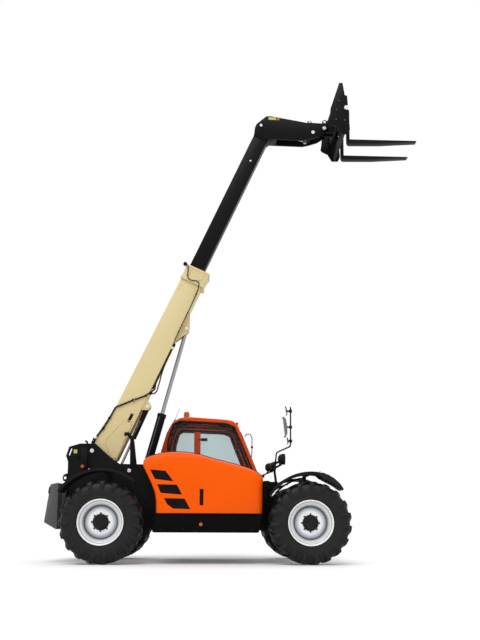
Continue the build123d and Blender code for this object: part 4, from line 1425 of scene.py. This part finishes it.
@dataclass
class TailLamps(Trim):
    """Tail lamps let into the counterweight's sloping rear face, and a blank plate."""

    top: Pair = (-2329, 1155)   # a point of the face in side view
    slope: float = 0.1373       # how far the face comes forward as it rises
    lenses: Sequence[Tuple[str, Finish, float, float]] = (
        ("red", Finish.RED, 505, 585), ("amber", Finish.AMBER, 420, 498))

    def _panel(self, form: Form, low: float, high: float, sink: float, proud: float, y0: float,
               y1: float) -> None:
        """Adds a panel on the sloping face.

        Args:
            form: what it is added to.
            low: its lower edge's height.
            high: its upper edge's.
            sink: how far it goes into the face.
            proud: how far it stands out.
            y0: one side's distance to the machine's left.
            y1: the other's.
        """
        def face(z: float, out: float) -> Pair:
            """A point that far out from the face."""
            return (self.top[0] - (self.top[1] - z) * self.slope - out, z)
        form.plate([face(low, -sink), face(low, proud), face(high, proud), face(high, -sink)], y0,
                   y1)

    def build(self) -> None:
        """Makes the lenses, then their housings with the blank plate."""
        for name, finish, y0, y1 in self.lenses:
            form = Form()
            for side in SIDES:
                self._panel(form, 1030, 1110, 4, 11, side * y0, side * y1)
            self.shop.piece(f"tail_lamps_{name}", form.ease(5, 3).mesh(), "chassis", finish)
        form = Form()
        for side in SIDES:
            self._panel(form, 1018, 1122, 6, 5, side * 408, side * 597)
        self._panel(form, 1010, 1120, 4, 3, -210, 210)
        self.shop.piece("tail_housings", form.ease(4, 2).mesh(), "chassis", Finish.PLASTIC,
                        "black_plastic")


@dataclass
class Beacon(Trim):
    """The beacon's dome on its dark foot."""

    x: float = -349
    y: float = 600
    foot: Rows = (
        # bottom, top, radius at each
        (2286, 2304, 52, 52), (2304, 2330, 47, 45))
    dome: Rows = (
        (2322, 2330, 52, 52), (2330, 2408, 50, 48), (2408, 2426, 48, 40), (2426, 2435, 40, 22))

    def _stack(self, levels: Rows) -> Form:
        """Stacks round sections.

        Args:
            levels: the bottom, the top and the radius at each.

        Returns:
            The body.
        """
        form = Form()
        for z0, z1, r0, r1 in levels:
            form.bar((self.x, self.y, z0), (self.x, self.y, z1), r0, r1, 40)
        return form

    def build(self) -> None:
        """Makes the foot and the dome."""
        self.shop.piece("beacon_foot", self._stack(self.foot).ease(3, 2).mesh(), "chassis",
                        Finish.PLASTIC, "black_plastic")
        self.shop.piece("beacon_dome", self._stack(self.dome).mesh(), "chassis", Finish.BEACON,
                        "amber_lens", ["beacon"])


# ---- cab ----
@dataclass
class Gaskets(Trim):
    """A rubber section round every pane of the cab."""

    side_window: Line = ((-636, 1380), (-631, 1903), (-551, 2175), (-435, 2230), (298, 2195),
                         (439, 2140), (735, 1440), (735, 1380))
    door_window: Line = ((-540, 1290), (-540, 1892), (-482, 2098), (-416, 2143), (286, 2115),
                         (390, 2072), (630, 1468), (630, 1290))
    near: float = 315           # right and left edges of the front and rear panes
    far: float = 990

    def build(self) -> None:
        """Makes the gaskets of the fixed panes, then those of the door's."""
        near, far = self.near, self.far
        rings = (
            (0.016, [(x, 246, z) for x, z in self.side_window]),
            (0.012, [(541, near, 2068), (541, far, 2068), (802, far, 1431), (817, far, 1291),
                     (817, near, 1291), (802, near, 1431)]),
            (0.012, [(-736, near, 1291), (-736, near, 1746), (-644, near, 2058),
                     (-644, far, 2058), (-736, far, 1746), (-736, far, 1291)]),
            (0.012, [(-340, 345, 2296), (-340, 960, 2296), (200, 960, 2271), (200, 345, 2271)]),
        )
        self.shop.piped("cab_gaskets", "chassis",
                        [(radius, 0.045, [mm(*place) for place in ring]) for radius, ring in rings],
                        Finish.HOSE, "hose_rubber", True)
        self.shop.piped("door_gaskets", "door",
                        [(0.010, 0.04, [mm(x, y, z) for x, z in self.door_window])
                         for y in (1060, 1034)], Finish.HOSE, "hose_rubber", True)


@dataclass
class Lining(Trim):
    """Dark lining of the roof, the pillars, the lower walls and the window surrounds."""

    thick: float = 9
    right: Pair = (273, 313)    # the lining's strips beside the right and the left wall
    left: Pair = (992, 1030)
    roof: Line = ((-615, 2055), (-540, 2200), (-428, 2259), (-264, 2272), (297, 2235), (411, 2215),
                  (482, 2140))
    back: Line = ((-706, 815), (-706, 1742), (-615, 2055))
    front: Line = ((482, 2140), (772, 1426), (786, 1300), (786, 815))
    wall: Line = ((-690, 1290), (-690, 1745), (-560, 2150), (-425, 2243), (300, 2220), (462, 2150),
                  (735, 1484), (760, 1290))
    jamb: Line = ((-614, 1290), (-614, 1902), (-542, 2150), (-434, 2216), (302, 2186), (440, 2128),
                  (704, 1484), (704, 1290))
    door_outer: Line = ((-586, 1290), (-586, 1898), (-520, 2128), (-428, 2186), (296, 2158),
                        (422, 2104), (674, 1478), (674, 1290))
    door_inner: Line = ((-556, 1290), (-556, 1895), (-496, 2108), (-421, 2156), (290, 2128),
                        (400, 2084), (644, 1472), (644, 1290))

    @staticmethod
    def _surround(form: Form, outer: Line, inner: Line, y0: float, y1: float) -> None:
        """Adds a plate between each stretch of an outline and the one inside it."""
        for (a, b), (d, c) in zip(zip(outer, outer[1:]), zip(inner, inner[1:])):
            form.plate([a, b, c, d], y0, y1)

    def build(self) -> None:
        """Makes the cab's lining and the door's."""
        inside = (self.right[1], self.left[0])
        form = Form()
        for y0, y1 in ((self.right[0], 343), (962, self.left[1])):
            form.strip(self.roof, self.thick, y0, y1)
        form.strip([*self.roof[:3], (-345, 2266)], self.thick, 343, 962)
        form.strip([(205, 2241), *self.roof[4:]], self.thick, 343, 962)
        for line in (self.back, self.front):
            for limits in (self.right, self.left):
                form.strip(line, self.thick, *limits)
        for line in (((-706, 815), (-706, 1286)), ((786, 1286), (786, 815)),
                     ((-613, 2062), (-612, 2068))):
            form.strip(line, self.thick, *inside)
        form.box(-704, 784, self.right[0], self.left[1], 807, 815)
        self._surround(form, self.wall, self.jamb, 1025, 1029)
        self.shop.piece("cab_lining", form.mesh(), "chassis", Finish.LINER)
        form = Form()
        self._surround(form, self.door_outer, self.door_inner, 1031, 1034)
        self.shop.piece("door_lining", form.mesh(), "door", Finish.LINER)


@dataclass
class CabOutside(Trim):
    """Wipers, and the door's handle, bar, grab handle and seam."""

    wiper_y: float = 560
    rear_wiper_y: float = 652
    seam: Line = ((-450, 830), (-600, 1300), (-600, 1900), (-530, 2140), (-430, 2205), (298, 2175),
                  (430, 2120), (690, 1480), (690, 1250), (560, 830))

    def build(self) -> None:
        """Makes the wipers, then the door's fittings."""
        y = self.wiper_y
        form = Form().bar((828, y, 1240), (700, y + 60, 1760), 7, 5)
        form.bar((814, y, 1240), (844, y, 1240), 22)
        form.plate([(797, 1500), (810, 1504), (618, 1975), (605, 1971)], y + 52, y + 64)
        y = self.rear_wiper_y
        form.bar((-736, y, 1250), (-760, y, 1250), 20)
        form.bar((-752, y, 1250), (-752, y - 12, 1650), 6, 5)
        form.box(-757, -744, y - 18, y - 7, 1420, 1745)
        self.shop.piece("wipers", form.mesh(), "chassis", Finish.BLACK)
        form = Form().box(560, 640, 1058, 1068, 1120, 1215).ease(4, 2)
        for low, high in ((1135, 1145), (1200, 1190)):
            form.bar((600, 1066, low), (600, 1086, high), 8)
        form.bar((600, 1084, 1132), (600, 1084, 1203), 9)
        self.shop.piece("door_handle", form.mesh(), "door", Finish.PLASTIC, "black_plastic")
        form = Form().box(-225, -115, 1022, 1034, 1286, 2142).ease(3, 2)
        self.shop.piece("door_bar", form.mesh(), "door", Finish.CAB, "cab_orange")
        form = Form().box(-108, 2, 985, 1010, 1985, 2034).ease(10, 3)
        form.bar((-150, 1022, 2009), (-100, 998, 2009), 10)
        self.shop.piece("door_grab", form.mesh(), "door", Finish.PLASTIC, "black_plastic")
        self.shop.piped("door_seam", "chassis",
                        [(0.0045, 0.02, [mm(x, 1060.5, z) for x, z in self.seam])], Finish.HOSE,
                        "hose_rubber", True)


@dataclass
class Controls(Trim):
    """Steering wheel on its column, dash, console with its lever, and pedals."""

    wheel_tilt: float = math.radians(32)
    wheel_radius: float = 0.166
    wheel_place: Pair = (380, 1405)

    def _wheel(self) -> Mesh:
        """The steering wheel's grip, spokes, boss and knob, with the column below them."""
        across = Vector((math.cos(self.wheel_tilt), 0, math.sin(self.wheel_tilt)))
        lift = Vector((-across.z, 0, across.x))
        centre = mm(self.wheel_place[0], CAB_MIDDLE, self.wheel_place[1])

        def at(radius: float, turn: float) -> Vector:
            """A place in the wheel's plane."""
            return centre + (across * math.cos(turn) + ACROSS[1] * math.sin(turn)) * radius
        grip = self.shop.tube([at(self.wheel_radius, a) for a in angles(48)], 0.014, 0.0,
                              Finish.PLASTIC, True)
        form = Form()
        for degrees in (90, 210, 330):
            rod(form.shape, centre - UP * 0.012, at(self.wheel_radius - 0.01,
                                                    math.radians(degrees)), 0.014, 12, 0.010)
        rod(form.shape, centre - lift * 0.035, centre + lift * 0.012, 0.048, 32, 0.040)
        knob = centre - across * 0.12 + ACROSS[1] * 0.11
        rod(form.shape, knob, knob + lift * 0.05, 0.016, 16, 0.022)
        form.plate([(470, 806), (600, 806), (425, 1400), (400, 1398), (372, 1372)],
                   CAB_MIDDLE - 45, CAB_MIDDLE + 45)
        return self.shop.joined([grip, shaded(form.ease(8, 3).mesh())])

    def build(self) -> None:
        """Makes the steering, then the dash with the console and the pedals."""
        self.shop.piece("steering", self._wheel(), "chassis", Finish.PLASTIC, "black_plastic",
                        ["cab_controls"])
        form = Form().plate([(600, 1180), (775, 1180), (765, 1255), (700, 1290), (590, 1240)],
                            400, 960)
        form.plate([(575, 1235), (592, 1228), (625, 1262), (608, 1272)], 560, 760)
        form.box(-420, 30, 300, 384, 1000, 1190).box(-430, -150, 903, 965, 1010, 1150)
        form.ease(10, 3).bar((-40, 342, 1185), (-30, 346, 1300), 9, 7)
        form.bar((-30, 346, 1290), (-26, 347, 1350), 24, 19)
        for y in (560, 740):
            form.plate([(640, 850), (652, 850), (616, 940), (604, 940)], y - 35, y + 35)
            form.bar((622, y, 900), (700, y, 960), 8)
        self.shop.piece("console", form.mesh(), "chassis", Finish.PLASTIC, "black_plastic")


@dataclass
class Seat(Trim):
    """The seat: stuffed cushion and back with channels and piping, on a black base."""

    cushion: Line = ((-470, 1140), (-60, 1140), (-52, 1215), (-470, 1200))
    cushion_half: float = 226.5
    back: Line = ((-466, 1232), (-392, 1226), (-452, 1768), (-528, 1756))
    back_half: float = 212.5
    pressure: float = 4.0
    stiffness: float = 30.0
    swell: float = 0.014        # the furthest that the cloth may leave the foam
    channel_off: float = 0.13   # from the seat's middle to each channel
    channel_half: float = 0.008
    channel_depth: float = 0.010
    base: Rows = (
        # rear, front, half width, bottom, top
        (-430, -130, 170, 808, 1060), (-470, -70, 212.5, 1112, 1140),
        (-440, -110, 190.5, 1060, 1085), (-436, -114, 182.5, 1085, 1112))

    def _pad(self, name: str, corners: Line, half: float) -> Mesh:
        """A stuffed cover: the box of its foam, swelled by cloth under pressure.

        Args:
            name: the mesh's name.
            corners: the foam's side view.
            half: half its width.

        Returns:
            The cover's mesh.
        """
        form = Form().plate(corners, CAB_MIDDLE - half, CAB_MIDDLE + half).ease(34, 4)
        cover = placed(name, form.mesh(name))
        remesh = cover.modifiers.new("remesh", "REMESH")
        remesh.mode, remesh.voxel_size = "VOXEL", 0.012
        start = [v.co.copy() for v in self._settled(cover).vertices]
        cloth = cover.modifiers.new("cloth", "CLOTH").settings
        cloth.use_pressure, cloth.uniform_pressure_force = True, self.pressure
        cloth.tension_stiffness = cloth.compression_stiffness = self.stiffness
        cloth.effector_weights.gravity = 0.0
        for number in range(1, 21):
            bpy.context.scene.frame_set(number)
        mesh = self._settled(cover)
        for vert, old in zip(mesh.vertices, start):
            move = vert.co - old
            if move.length > self.swell:
                vert.co = old + move.normalized() * self.swell
        bpy.data.objects.remove(cover)
        bpy.context.scene.frame_set(1)
        return mesh

    @staticmethod
    def _settled(cover: Object) -> Mesh:
        """The object's mesh with its modifiers worked in."""
        graph = bpy.context.evaluated_depsgraph_get()
        graph.update()
        return bpy.data.meshes.new_from_object(cover.evaluated_get(graph), depsgraph=graph)

    def _channelled(self, mesh: Mesh, flat: bool) -> None:
        """Presses two sewn channels into a cover.

        Args:
            mesh: the cover, changed in place.
            flat: whether it is the cushion, pressed from above, or else the back, from the front.
        """
        for vert in mesh.vertices:
            place = vert.co.y - CAB_MIDDLE / 1000
            dip = sum(math.exp(-((place - side * self.channel_off) / self.channel_half) ** 2)
                      for side in SIDES)
            if (vert.co.z > 1.19 if flat else vert.co.x > MID_X - 0.44) and dip > 0.01:
                vert.co -= ((UP if flat else Vector((1, 0, 0))) * self.channel_depth
                            * min(dip, 1.0) * math.exp(-(place / 0.3) ** 6))

    def build(self) -> None:
        """Makes the two covers, their piping and the base."""
        cushion = self._pad("cushion", self.cushion, self.cushion_half)
        back = self._pad("backrest", self.back, self.back_half)
        for name, mesh, flat, nodes in (("seat_cushion", cushion, True, ["cab_seat"]),
                                        ("seat_back", back, False, [])):
            self._channelled(mesh, flat)
            shape = bmesh.new()
            shape.from_mesh(mesh)
            bmesh.ops.smooth_vert(shape, verts=shape.verts, factor=0.3, use_axis_x=True,
                                  use_axis_y=True, use_axis_z=True)
            bmesh.ops.subdivide_edges(shape, edges=shape.edges, cuts=1, use_grid_fill=True,
                                      smooth=0.6)
            made = self.shop.piece(name, meshed(shape, name), "chassis", Finish.CLOTH,
                                   "seat_fabric", nodes, 80)
        pipes = []
        for side in SIDES:
            low, high = CAB_MIDDLE + side * 224.5, CAB_MIDDLE + side * self.back_half
            pipes += [(0.005, 0.03, [mm(-455, low, 1204), mm(-75, low, 1218), mm(-54, low, 1190)]),
                      (0.005, 0.02, [mm(-396, high, 1260), mm(-448, high, 1745)])]
        self.shop.piped("seat_piping", "chassis", pipes, Finish.CLOTH, "seat_fabric")
        form = Form()
        for x0, x1, half, z0, z1 in self.base:
            form.box(x0, x1, CAB_MIDDLE - half, CAB_MIDDLE + half, z0, z1)
        form.plate([(-540, 1150), (-470, 1150), (-462, 1232), (-540, 1300)], 560, 745)
        form.plate([(-488, 1236), (-470, 1234), (-532, 1752), (-548, 1746)], 452, 853)
        form.ease(6, 2).bar((-420, 452, 1130), (-350, 452, 1290), 10)
        form.bar((-350, 452, 1280), (-130, 452, 1300), 16)
        self.shop.piece("seat_base", form.mesh(), "chassis", Finish.PLASTIC, "black_plastic")


# ---- chassis ----
@dataclass
class ChassisBolts(Trim):
    """Bolt heads on the tower, the carriage, the frame, the sill and the counterweight."""

    tower: Line = ((-1816, 1408), (-2059, 1292))
    carriage: Line = ((2103, 7446), (2047, 7120), (2190, 7110), (2060, 7290))
    plates: Line = ((-2100, 1420), (-2100, 1520), (-1560, 1560), (-1440, 1450), (-1300, 1440),
                    (-900, 1430), (-800, 1380))
    mudguards: Line = ((1515, 1331), (-1505, 1361))

    @staticmethod
    def _both(places: Line, y: float) -> Sequence[Tuple[Vector, Vector]]:
        """The same places on the right and the left face, each facing outwards."""
        return [(mm(x, side * y, z), ACROSS[side]) for side in SIDES for x, z in places]

    def build(self) -> None:
        """Makes one piece for each finish and body."""
        self.shop.bolted("tower_bolts", "chassis", self._both(self.tower, 220), 1.0, Finish.ZINC)
        self.shop.bolted("carriage_bolts", "fork_carriage", self._both(self.carriage, 502), 0.9,
                         Finish.PIPE)
        bolts = [*self._both(self.plates, 220),
                 *((mm(x, -1000, z), ACROSS[-1]) for x in (-660, -330, 330, 660)
                   for z in (500, 690)),
                 *((mm(x + dx, side * y, top), UP) for x, top in self.mudguards
                   for dx in (-18, 18) for y in (800, 1040) for side in SIDES),
                 *((mm(-2395, y, 700), Vector((-1, 0, 0))) for y in (-260, -130, 130, 260))]
        self.shop.bolted("frame_bolts", "chassis", bolts, 1.0, Finish.BLACK, "frame_black")


@dataclass
class ValveBox(Trim):
    """The covered valve box beside the boom's pivot, with its hoses' unions."""

    unions: Sequence[Tuple[Point, Point, float]] = (
        ((-1862, -230, 1836), (-1890, -230, 1842), 13),
        ((-1900, -240, 1740), (-1900, -240, 1772), 11),
        ((-1925, -240, 1740), (-1925, -240, 1768), 9))

    def build(self) -> None:
        """Makes the box as one piece."""
        form = Form().box(-1946, -1842, -259, -220, 1424, 1742).ease(6, 3)
        form.box(-1934, -1854, -264, -258, 1490, 1724).ease(2, 2)
        for union in self.unions:
            form.bar(*union)
        self.shop.piece("valve_box", form.mesh(), "chassis", Finish.PLASTIC, "black_plastic")


@dataclass
class Mudguards(Trim):
    """The front mudguards on their stays, and the thick rubber flap that ends each of them."""

    centre: Pair = (1515, 605)
    right: float = 732          # from the machine's middle to the guard's inner and outer edge
    left: float = 1108
    shell: float = 724
    rim: float = 733
    sweep: Sequence[float] = tuple(range(148, 76, -4))
    flap: Line = (
        # distance from the centre, degrees round it
        (726, 81), (738, 77), (732, 70), (718, 62), (700, 54), (676, 46.5), (658, 45.2),
        (650, 47), (644, 54), (640, 62), (644, 70), (660, 77), (690, 81))
    bracket: Line = ((826, 860), (872, 880), (905, 1000), (975, 1085), (1062, 1150), (1062, 1207),
                     (826, 1207))

    def _arc(self, radius: float, degrees: float) -> Pair:
        """A place round the mudguard's centre."""
        turn = math.radians(degrees)
        return (self.centre[0] + radius * math.cos(turn), self.centre[1] + radius * math.sin(turn))

    def build(self) -> None:
        """Makes the guards with their stays, then the flaps."""
        form, flaps = Form(), Form()
        for side in SIDES:
            form.strip([self._arc(self.shell, a) for a in self.sweep], 24, side * self.right,
                       side * self.left)
            for y in (self.right, self.left - 20):
                form.strip([self._arc(self.rim, a) for a in self.sweep], 40, side * y,
                           side * (y + 22))
            flaps.plate([self._arc(*place) for place in self.flap], side * (self.right + 2),
                        side * (self.left - 2))
            form.box(1485, 1545, side * 220, side * 760, 1300, 1321)
            form.box(1485, 1545, side * 220, side * 250, 790, 1321)
            form.plate(self.bracket, side * 345, side * 700)
            for radius, turns, thick in ((668, (139, 126, 114, 103), 26),
                                         (705, range(144, 120, -5), 22)):
                form.strip([self._arc(radius, a) for a in turns], thick, side * 745, side * 775)
        form.ease(3, 2, 40)
        (x0, z0), (x1, z1) = (self._arc(radius, 80) for radius in (742, 752))
        for side in SIDES:
            for y in (780, 1060):
                form.bar((x0, side * y, z0), (x1, side * y, z1), 9)
        self.shop.piece("front_guards", form.mesh(), "chassis", Finish.PLASTIC, "black_plastic",
                        ["front_fenders"])
        self.shop.piece("front_flaps", flaps.ease(9, 3).mesh(), "chassis", Finish.HOSE,
                        "hose_rubber")


@dataclass
class Engine(Trim):
    """Cover, sump, pulleys, fan, air filter and radiator round the engine block."""

    y: float = -665             # the crankshaft's line
    cylinders: Sequence[float] = (-360, -200, -40, 120)
    pulleys: Sequence[Tuple[float, float]] = ((700, 105), (1010, 70), (880, 44))
    fan_z: float = 1010
    blades: int = 7

    def build(self) -> None:
        """Makes each part as its own piece."""
        y = self.y
        form = Form().box(-440, 200, -790, -560, 1236, 1290).box(-470, 240, -845, -480, 500, 580)
        form.box(-420, 180, -870, -856, 640, 900).ease(10, 3)
        for x in self.cylinders:
            form.bar((x, y - 10, 1285), (x, y - 10, 1304), 26)
            form.bar((x, -868, 980), (x, -868, 1140), 34, 30)
        self.shop.piece("engine_cover", form.mesh(), "chassis", Finish.CAST)
        form = Form()
        for z, radius in self.pulleys:
            form.bar((258, y, z), (276, y, z), radius, turns=40)
            form.bar((276, y, z), (296, y, z), radius - 8, turns=40)
        form.bar((296, y, self.fan_z), (316, y, self.fan_z), 30)
        self.shop.piece("engine_pulleys", form.mesh(), "chassis", Finish.CAST)
        form = Form()
        for a in angles(self.blades):
            dy, dz = math.cos(a), math.sin(a)
            form.bar((322, y + 30 * dy, self.fan_z + 30 * dz),
                     (326, y + 190 * dy, self.fan_z + 190 * dz), 12, 30, 8)
        self.shop.piece("engine_fan", form.mesh(), "chassis", Finish.PLASTIC)
        form = Form().bar((-620, -640, 1180), (-480, -640, 1180), 90, turns=40)
        form.bar((-500, -830, 560), (-500, -830, 720), 52, turns=32)
        self.shop.piece("air_filter", form.mesh(), "chassis", Finish.BLACK)
        form = Form().box(430, 500, -880, -430, 760, 1200).ease(8, 2)
        self.shop.piece("radiator", form.mesh(), "chassis", Finish.CAST)


@dataclass
class HoodStrip(Trim):
    """The rubber strip along the hood's crown."""

    crown: Line = ((-886, 1543), (-870, 1546), (-689, 1602), (-524, 1625), (-286, 1620),
                   (-103, 1587), (134, 1519), (416, 1451), (625, 1389), (738, 1340), (822, 1262))

    def build(self) -> None:
        """Makes the strip."""
        points = [mm(x, -912, z) for x, z in self.crown]
        self.shop.piped("hood_strip", "hood", [(0.007, 0.08, points)], Finish.HOSE, "hose_rubber")


@dataclass
class StepStuds(Trim):
    """Raised grip studs on the step's tread."""

    pitch: int = 40

    def build(self) -> None:
        """Makes the studs as one piece."""
        studs = [(mm(x, y, 500), UP) for x in range(-200, 200, self.pitch)
                 for y in range(880, 1040, self.pitch)]
        self.shop.bolted("step_studs", "chassis", studs, 0.7, Finish.ZINC)


# ---- stage ----
@dataclass
class Stage:
    """The pale floor, the soft light and the camera."""

    camera_place: Point = (-0.4805, -12.10, 0.620)
    yaw: float = 2.36
    pitch: float = 7.85
    roll: float = 0.24
    lens: float = 42.94
    shift_y: float = 0.15
    floor_size: float = 60.0
    floor_tone: float = 0.90
    floor_glow: float = 0.09    # what lifts the lit floor to white
    sky_light: float = 0.55
    suns: Sequence[Tuple[str, Point, float, float]] = (
        # name, where it comes from, strength, spread in degrees
        ("key", (-3.0, -8.5, 13.0), 1.50, 40.0), ("back", (0.5, 6.0, 12.0), 0.65, 60.0))

    @staticmethod
    def _seen(tree: Tree) -> Wire:
        """1 for what the camera sees, straight or in a gloss or through glass, and else 0."""
        camera, glossy, through = (tree.node("ShaderNodeLightPath", output=f"Is {kind} Ray")
                                   for kind in ("Camera", "Glossy", "Transmission"))
        return (camera + glossy + through).clamped()

    def _floor(self) -> Object:
        """A wide matt floor that shows white to the camera and keeps its shadow."""
        tree, half = Shader("pale_floor"), self.floor_size / 2
        shade = tree.tones(tree.noise(3.0, 2.0), (self.floor_tone,) * 3, 0.99)
        matt = tree.node("ShaderNodeBsdfDiffuse", inputs={"Color": shade})
        glow = tree.node("ShaderNodeEmission", inputs={
            "Color": (1.0, 1.0, 1.0), "Strength": self._seen(tree) * self.floor_glow})
        both = tree.node("ShaderNodeAddShader", inputs={0: matt, 1: glow})
        tree.node("ShaderNodeOutputMaterial", inputs={"Surface": both})
        mesh = bpy.data.meshes.new("floor")
        mesh.from_pydata([(x * half, y * half, 0) for x, y in ((-1, -1), (1, -1), (1, 1), (-1, 1))],
                         [], [(0, 1, 2, 3)])
        mesh.materials.append(tree.material)
        return placed("floor", mesh)

    def _world(self) -> None:
        """A sky that lights plainly and shows white behind the machine."""
        world = bpy.data.worlds.new("sky")
        bpy.context.scene.world = world
        world.use_nodes = True
        tree = Tree(world.node_tree)
        shown = self._seen(tree)
        sky = tree.node("ShaderNodeBackground", inputs={
            "Color": (1.0, 1.0, 1.0), "Strength": shown + (1 - shown) * self.sky_light})
        tree.node("ShaderNodeOutputWorld", inputs={"Surface": sky})

    def _camera(self) -> Object:
        """The camera, low on the machine's right."""
        camera = bpy.data.cameras.new("camera")
        camera.lens, camera.sensor_width = self.lens, 36.0
        camera.shift_y, camera.clip_end = self.shift_y, 200.0
        made = placed("camera", camera)
        turn = (Matrix.Rotation(math.radians(-self.yaw), 4, "Z")
                @ Matrix.Rotation(math.radians(90 + self.pitch), 4, "X")
                @ Matrix.Rotation(math.radians(self.roll), 4, "Z"))
        made.matrix_world = Matrix.Translation(self.camera_place) @ turn
        return made

    def build(self) -> None:
        """Makes the floor, the sky, the suns and the camera."""
        scene = bpy.context.scene
        scene.view_settings.view_transform = "Standard"
        self._floor()
        self._world()
        for name, come_from, strength, spread in self.suns:
            light = bpy.data.lights.new(name, "SUN")
            light.energy, light.angle = strength, math.radians(spread)
            sun = placed(name, light)
            sun.location = come_from
            sun.rotation_euler = (-Vector(come_from)).to_track_quat("-Z", "Y").to_euler()
        scene.camera = self._camera()
        log.info("stage ready")


# ---- everything in order ----
CARRIED = {
    # node: its finish, and how wide its edges are rounded
    "chassis_frame": (Finish.BLACK, 0.003), "counterweight": (Finish.WEIGHT, 0.012),
    "front_axle": (Finish.CAST, 0.008), "rear_axle": (Finish.CAST, 0.008),
    "rear_fenders": (Finish.PLASTIC, 0.004),
    "boom_outer": (Finish.CREAM, 0.004), "boom_collar": (Finish.CREAM, 0.005),
    "boom_inner": (Finish.BOOM_BLACK, 0.004), "boom_head": (Finish.BOOM_BLACK, 0.003),
    "carriage": (Finish.BOOM_BLACK, 0.003), "forks": (Finish.FORK, 0.003),
    **{f"{name}_{part}": dress for name in ("lift", "slave", "tilt")
       for part, dress in (("barrel", (Finish.BLACK, 0.002)), ("rod", (Finish.CHROME, 0.0)))},
    "bell_crank": (Finish.BOOM_BLACK, 0.003), "tilt_link": (Finish.BOOM_BLACK, 0.002),
    "engine_hood": (Finish.HOOD, 0.006), "hood_grilles": (Finish.PLASTIC, 0.0),
    "engine_block": (Finish.ENGINE, 0.012), "engine_sill": (Finish.SILL, 0.004),
    "cab_frame": (Finish.CAB, 0.008), "cab_glazing": (Finish.GLASS, 0.0),
    "cab_door": (Finish.CAB, 0.004), "cab_door_glass": (Finish.TINTED, 0.0),
    "left_tank": (Finish.PLASTIC, 0.01),
    **{f"knuckle_{end}_{hand}": (Finish.CAST, 0.006) for end in ENDS for hand in HANDS},
}


def main() -> None:
    """Builds every part of the machine in order."""
    logging.basicConfig(level=logging.INFO, format="%(message)s", stream=sys.stdout)
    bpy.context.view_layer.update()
    Stage().build()
    shop = Workshop()
    for node, (finish, ease) in CARRIED.items():
        shop.carried(node, finish, ease)
    for end in ENDS:
        for hand in HANDS:
            Wheel(shop, end, hand).build()
    for kind in (PinEnds, BoomTrim, CylinderPipes, Mirrors, Headlamps, CabLamps, TailLamps,
                 Beacon, Gaskets, Lining, CabOutside, Controls, Seat, ChassisBolts, ValveBox,
                 Mudguards, Engine, HoodStrip, StepStuds):
        kind(shop).build()
    shop.clear()
    log.info("%d pieces", shop.count)


if __name__ == "__main__":
    main()
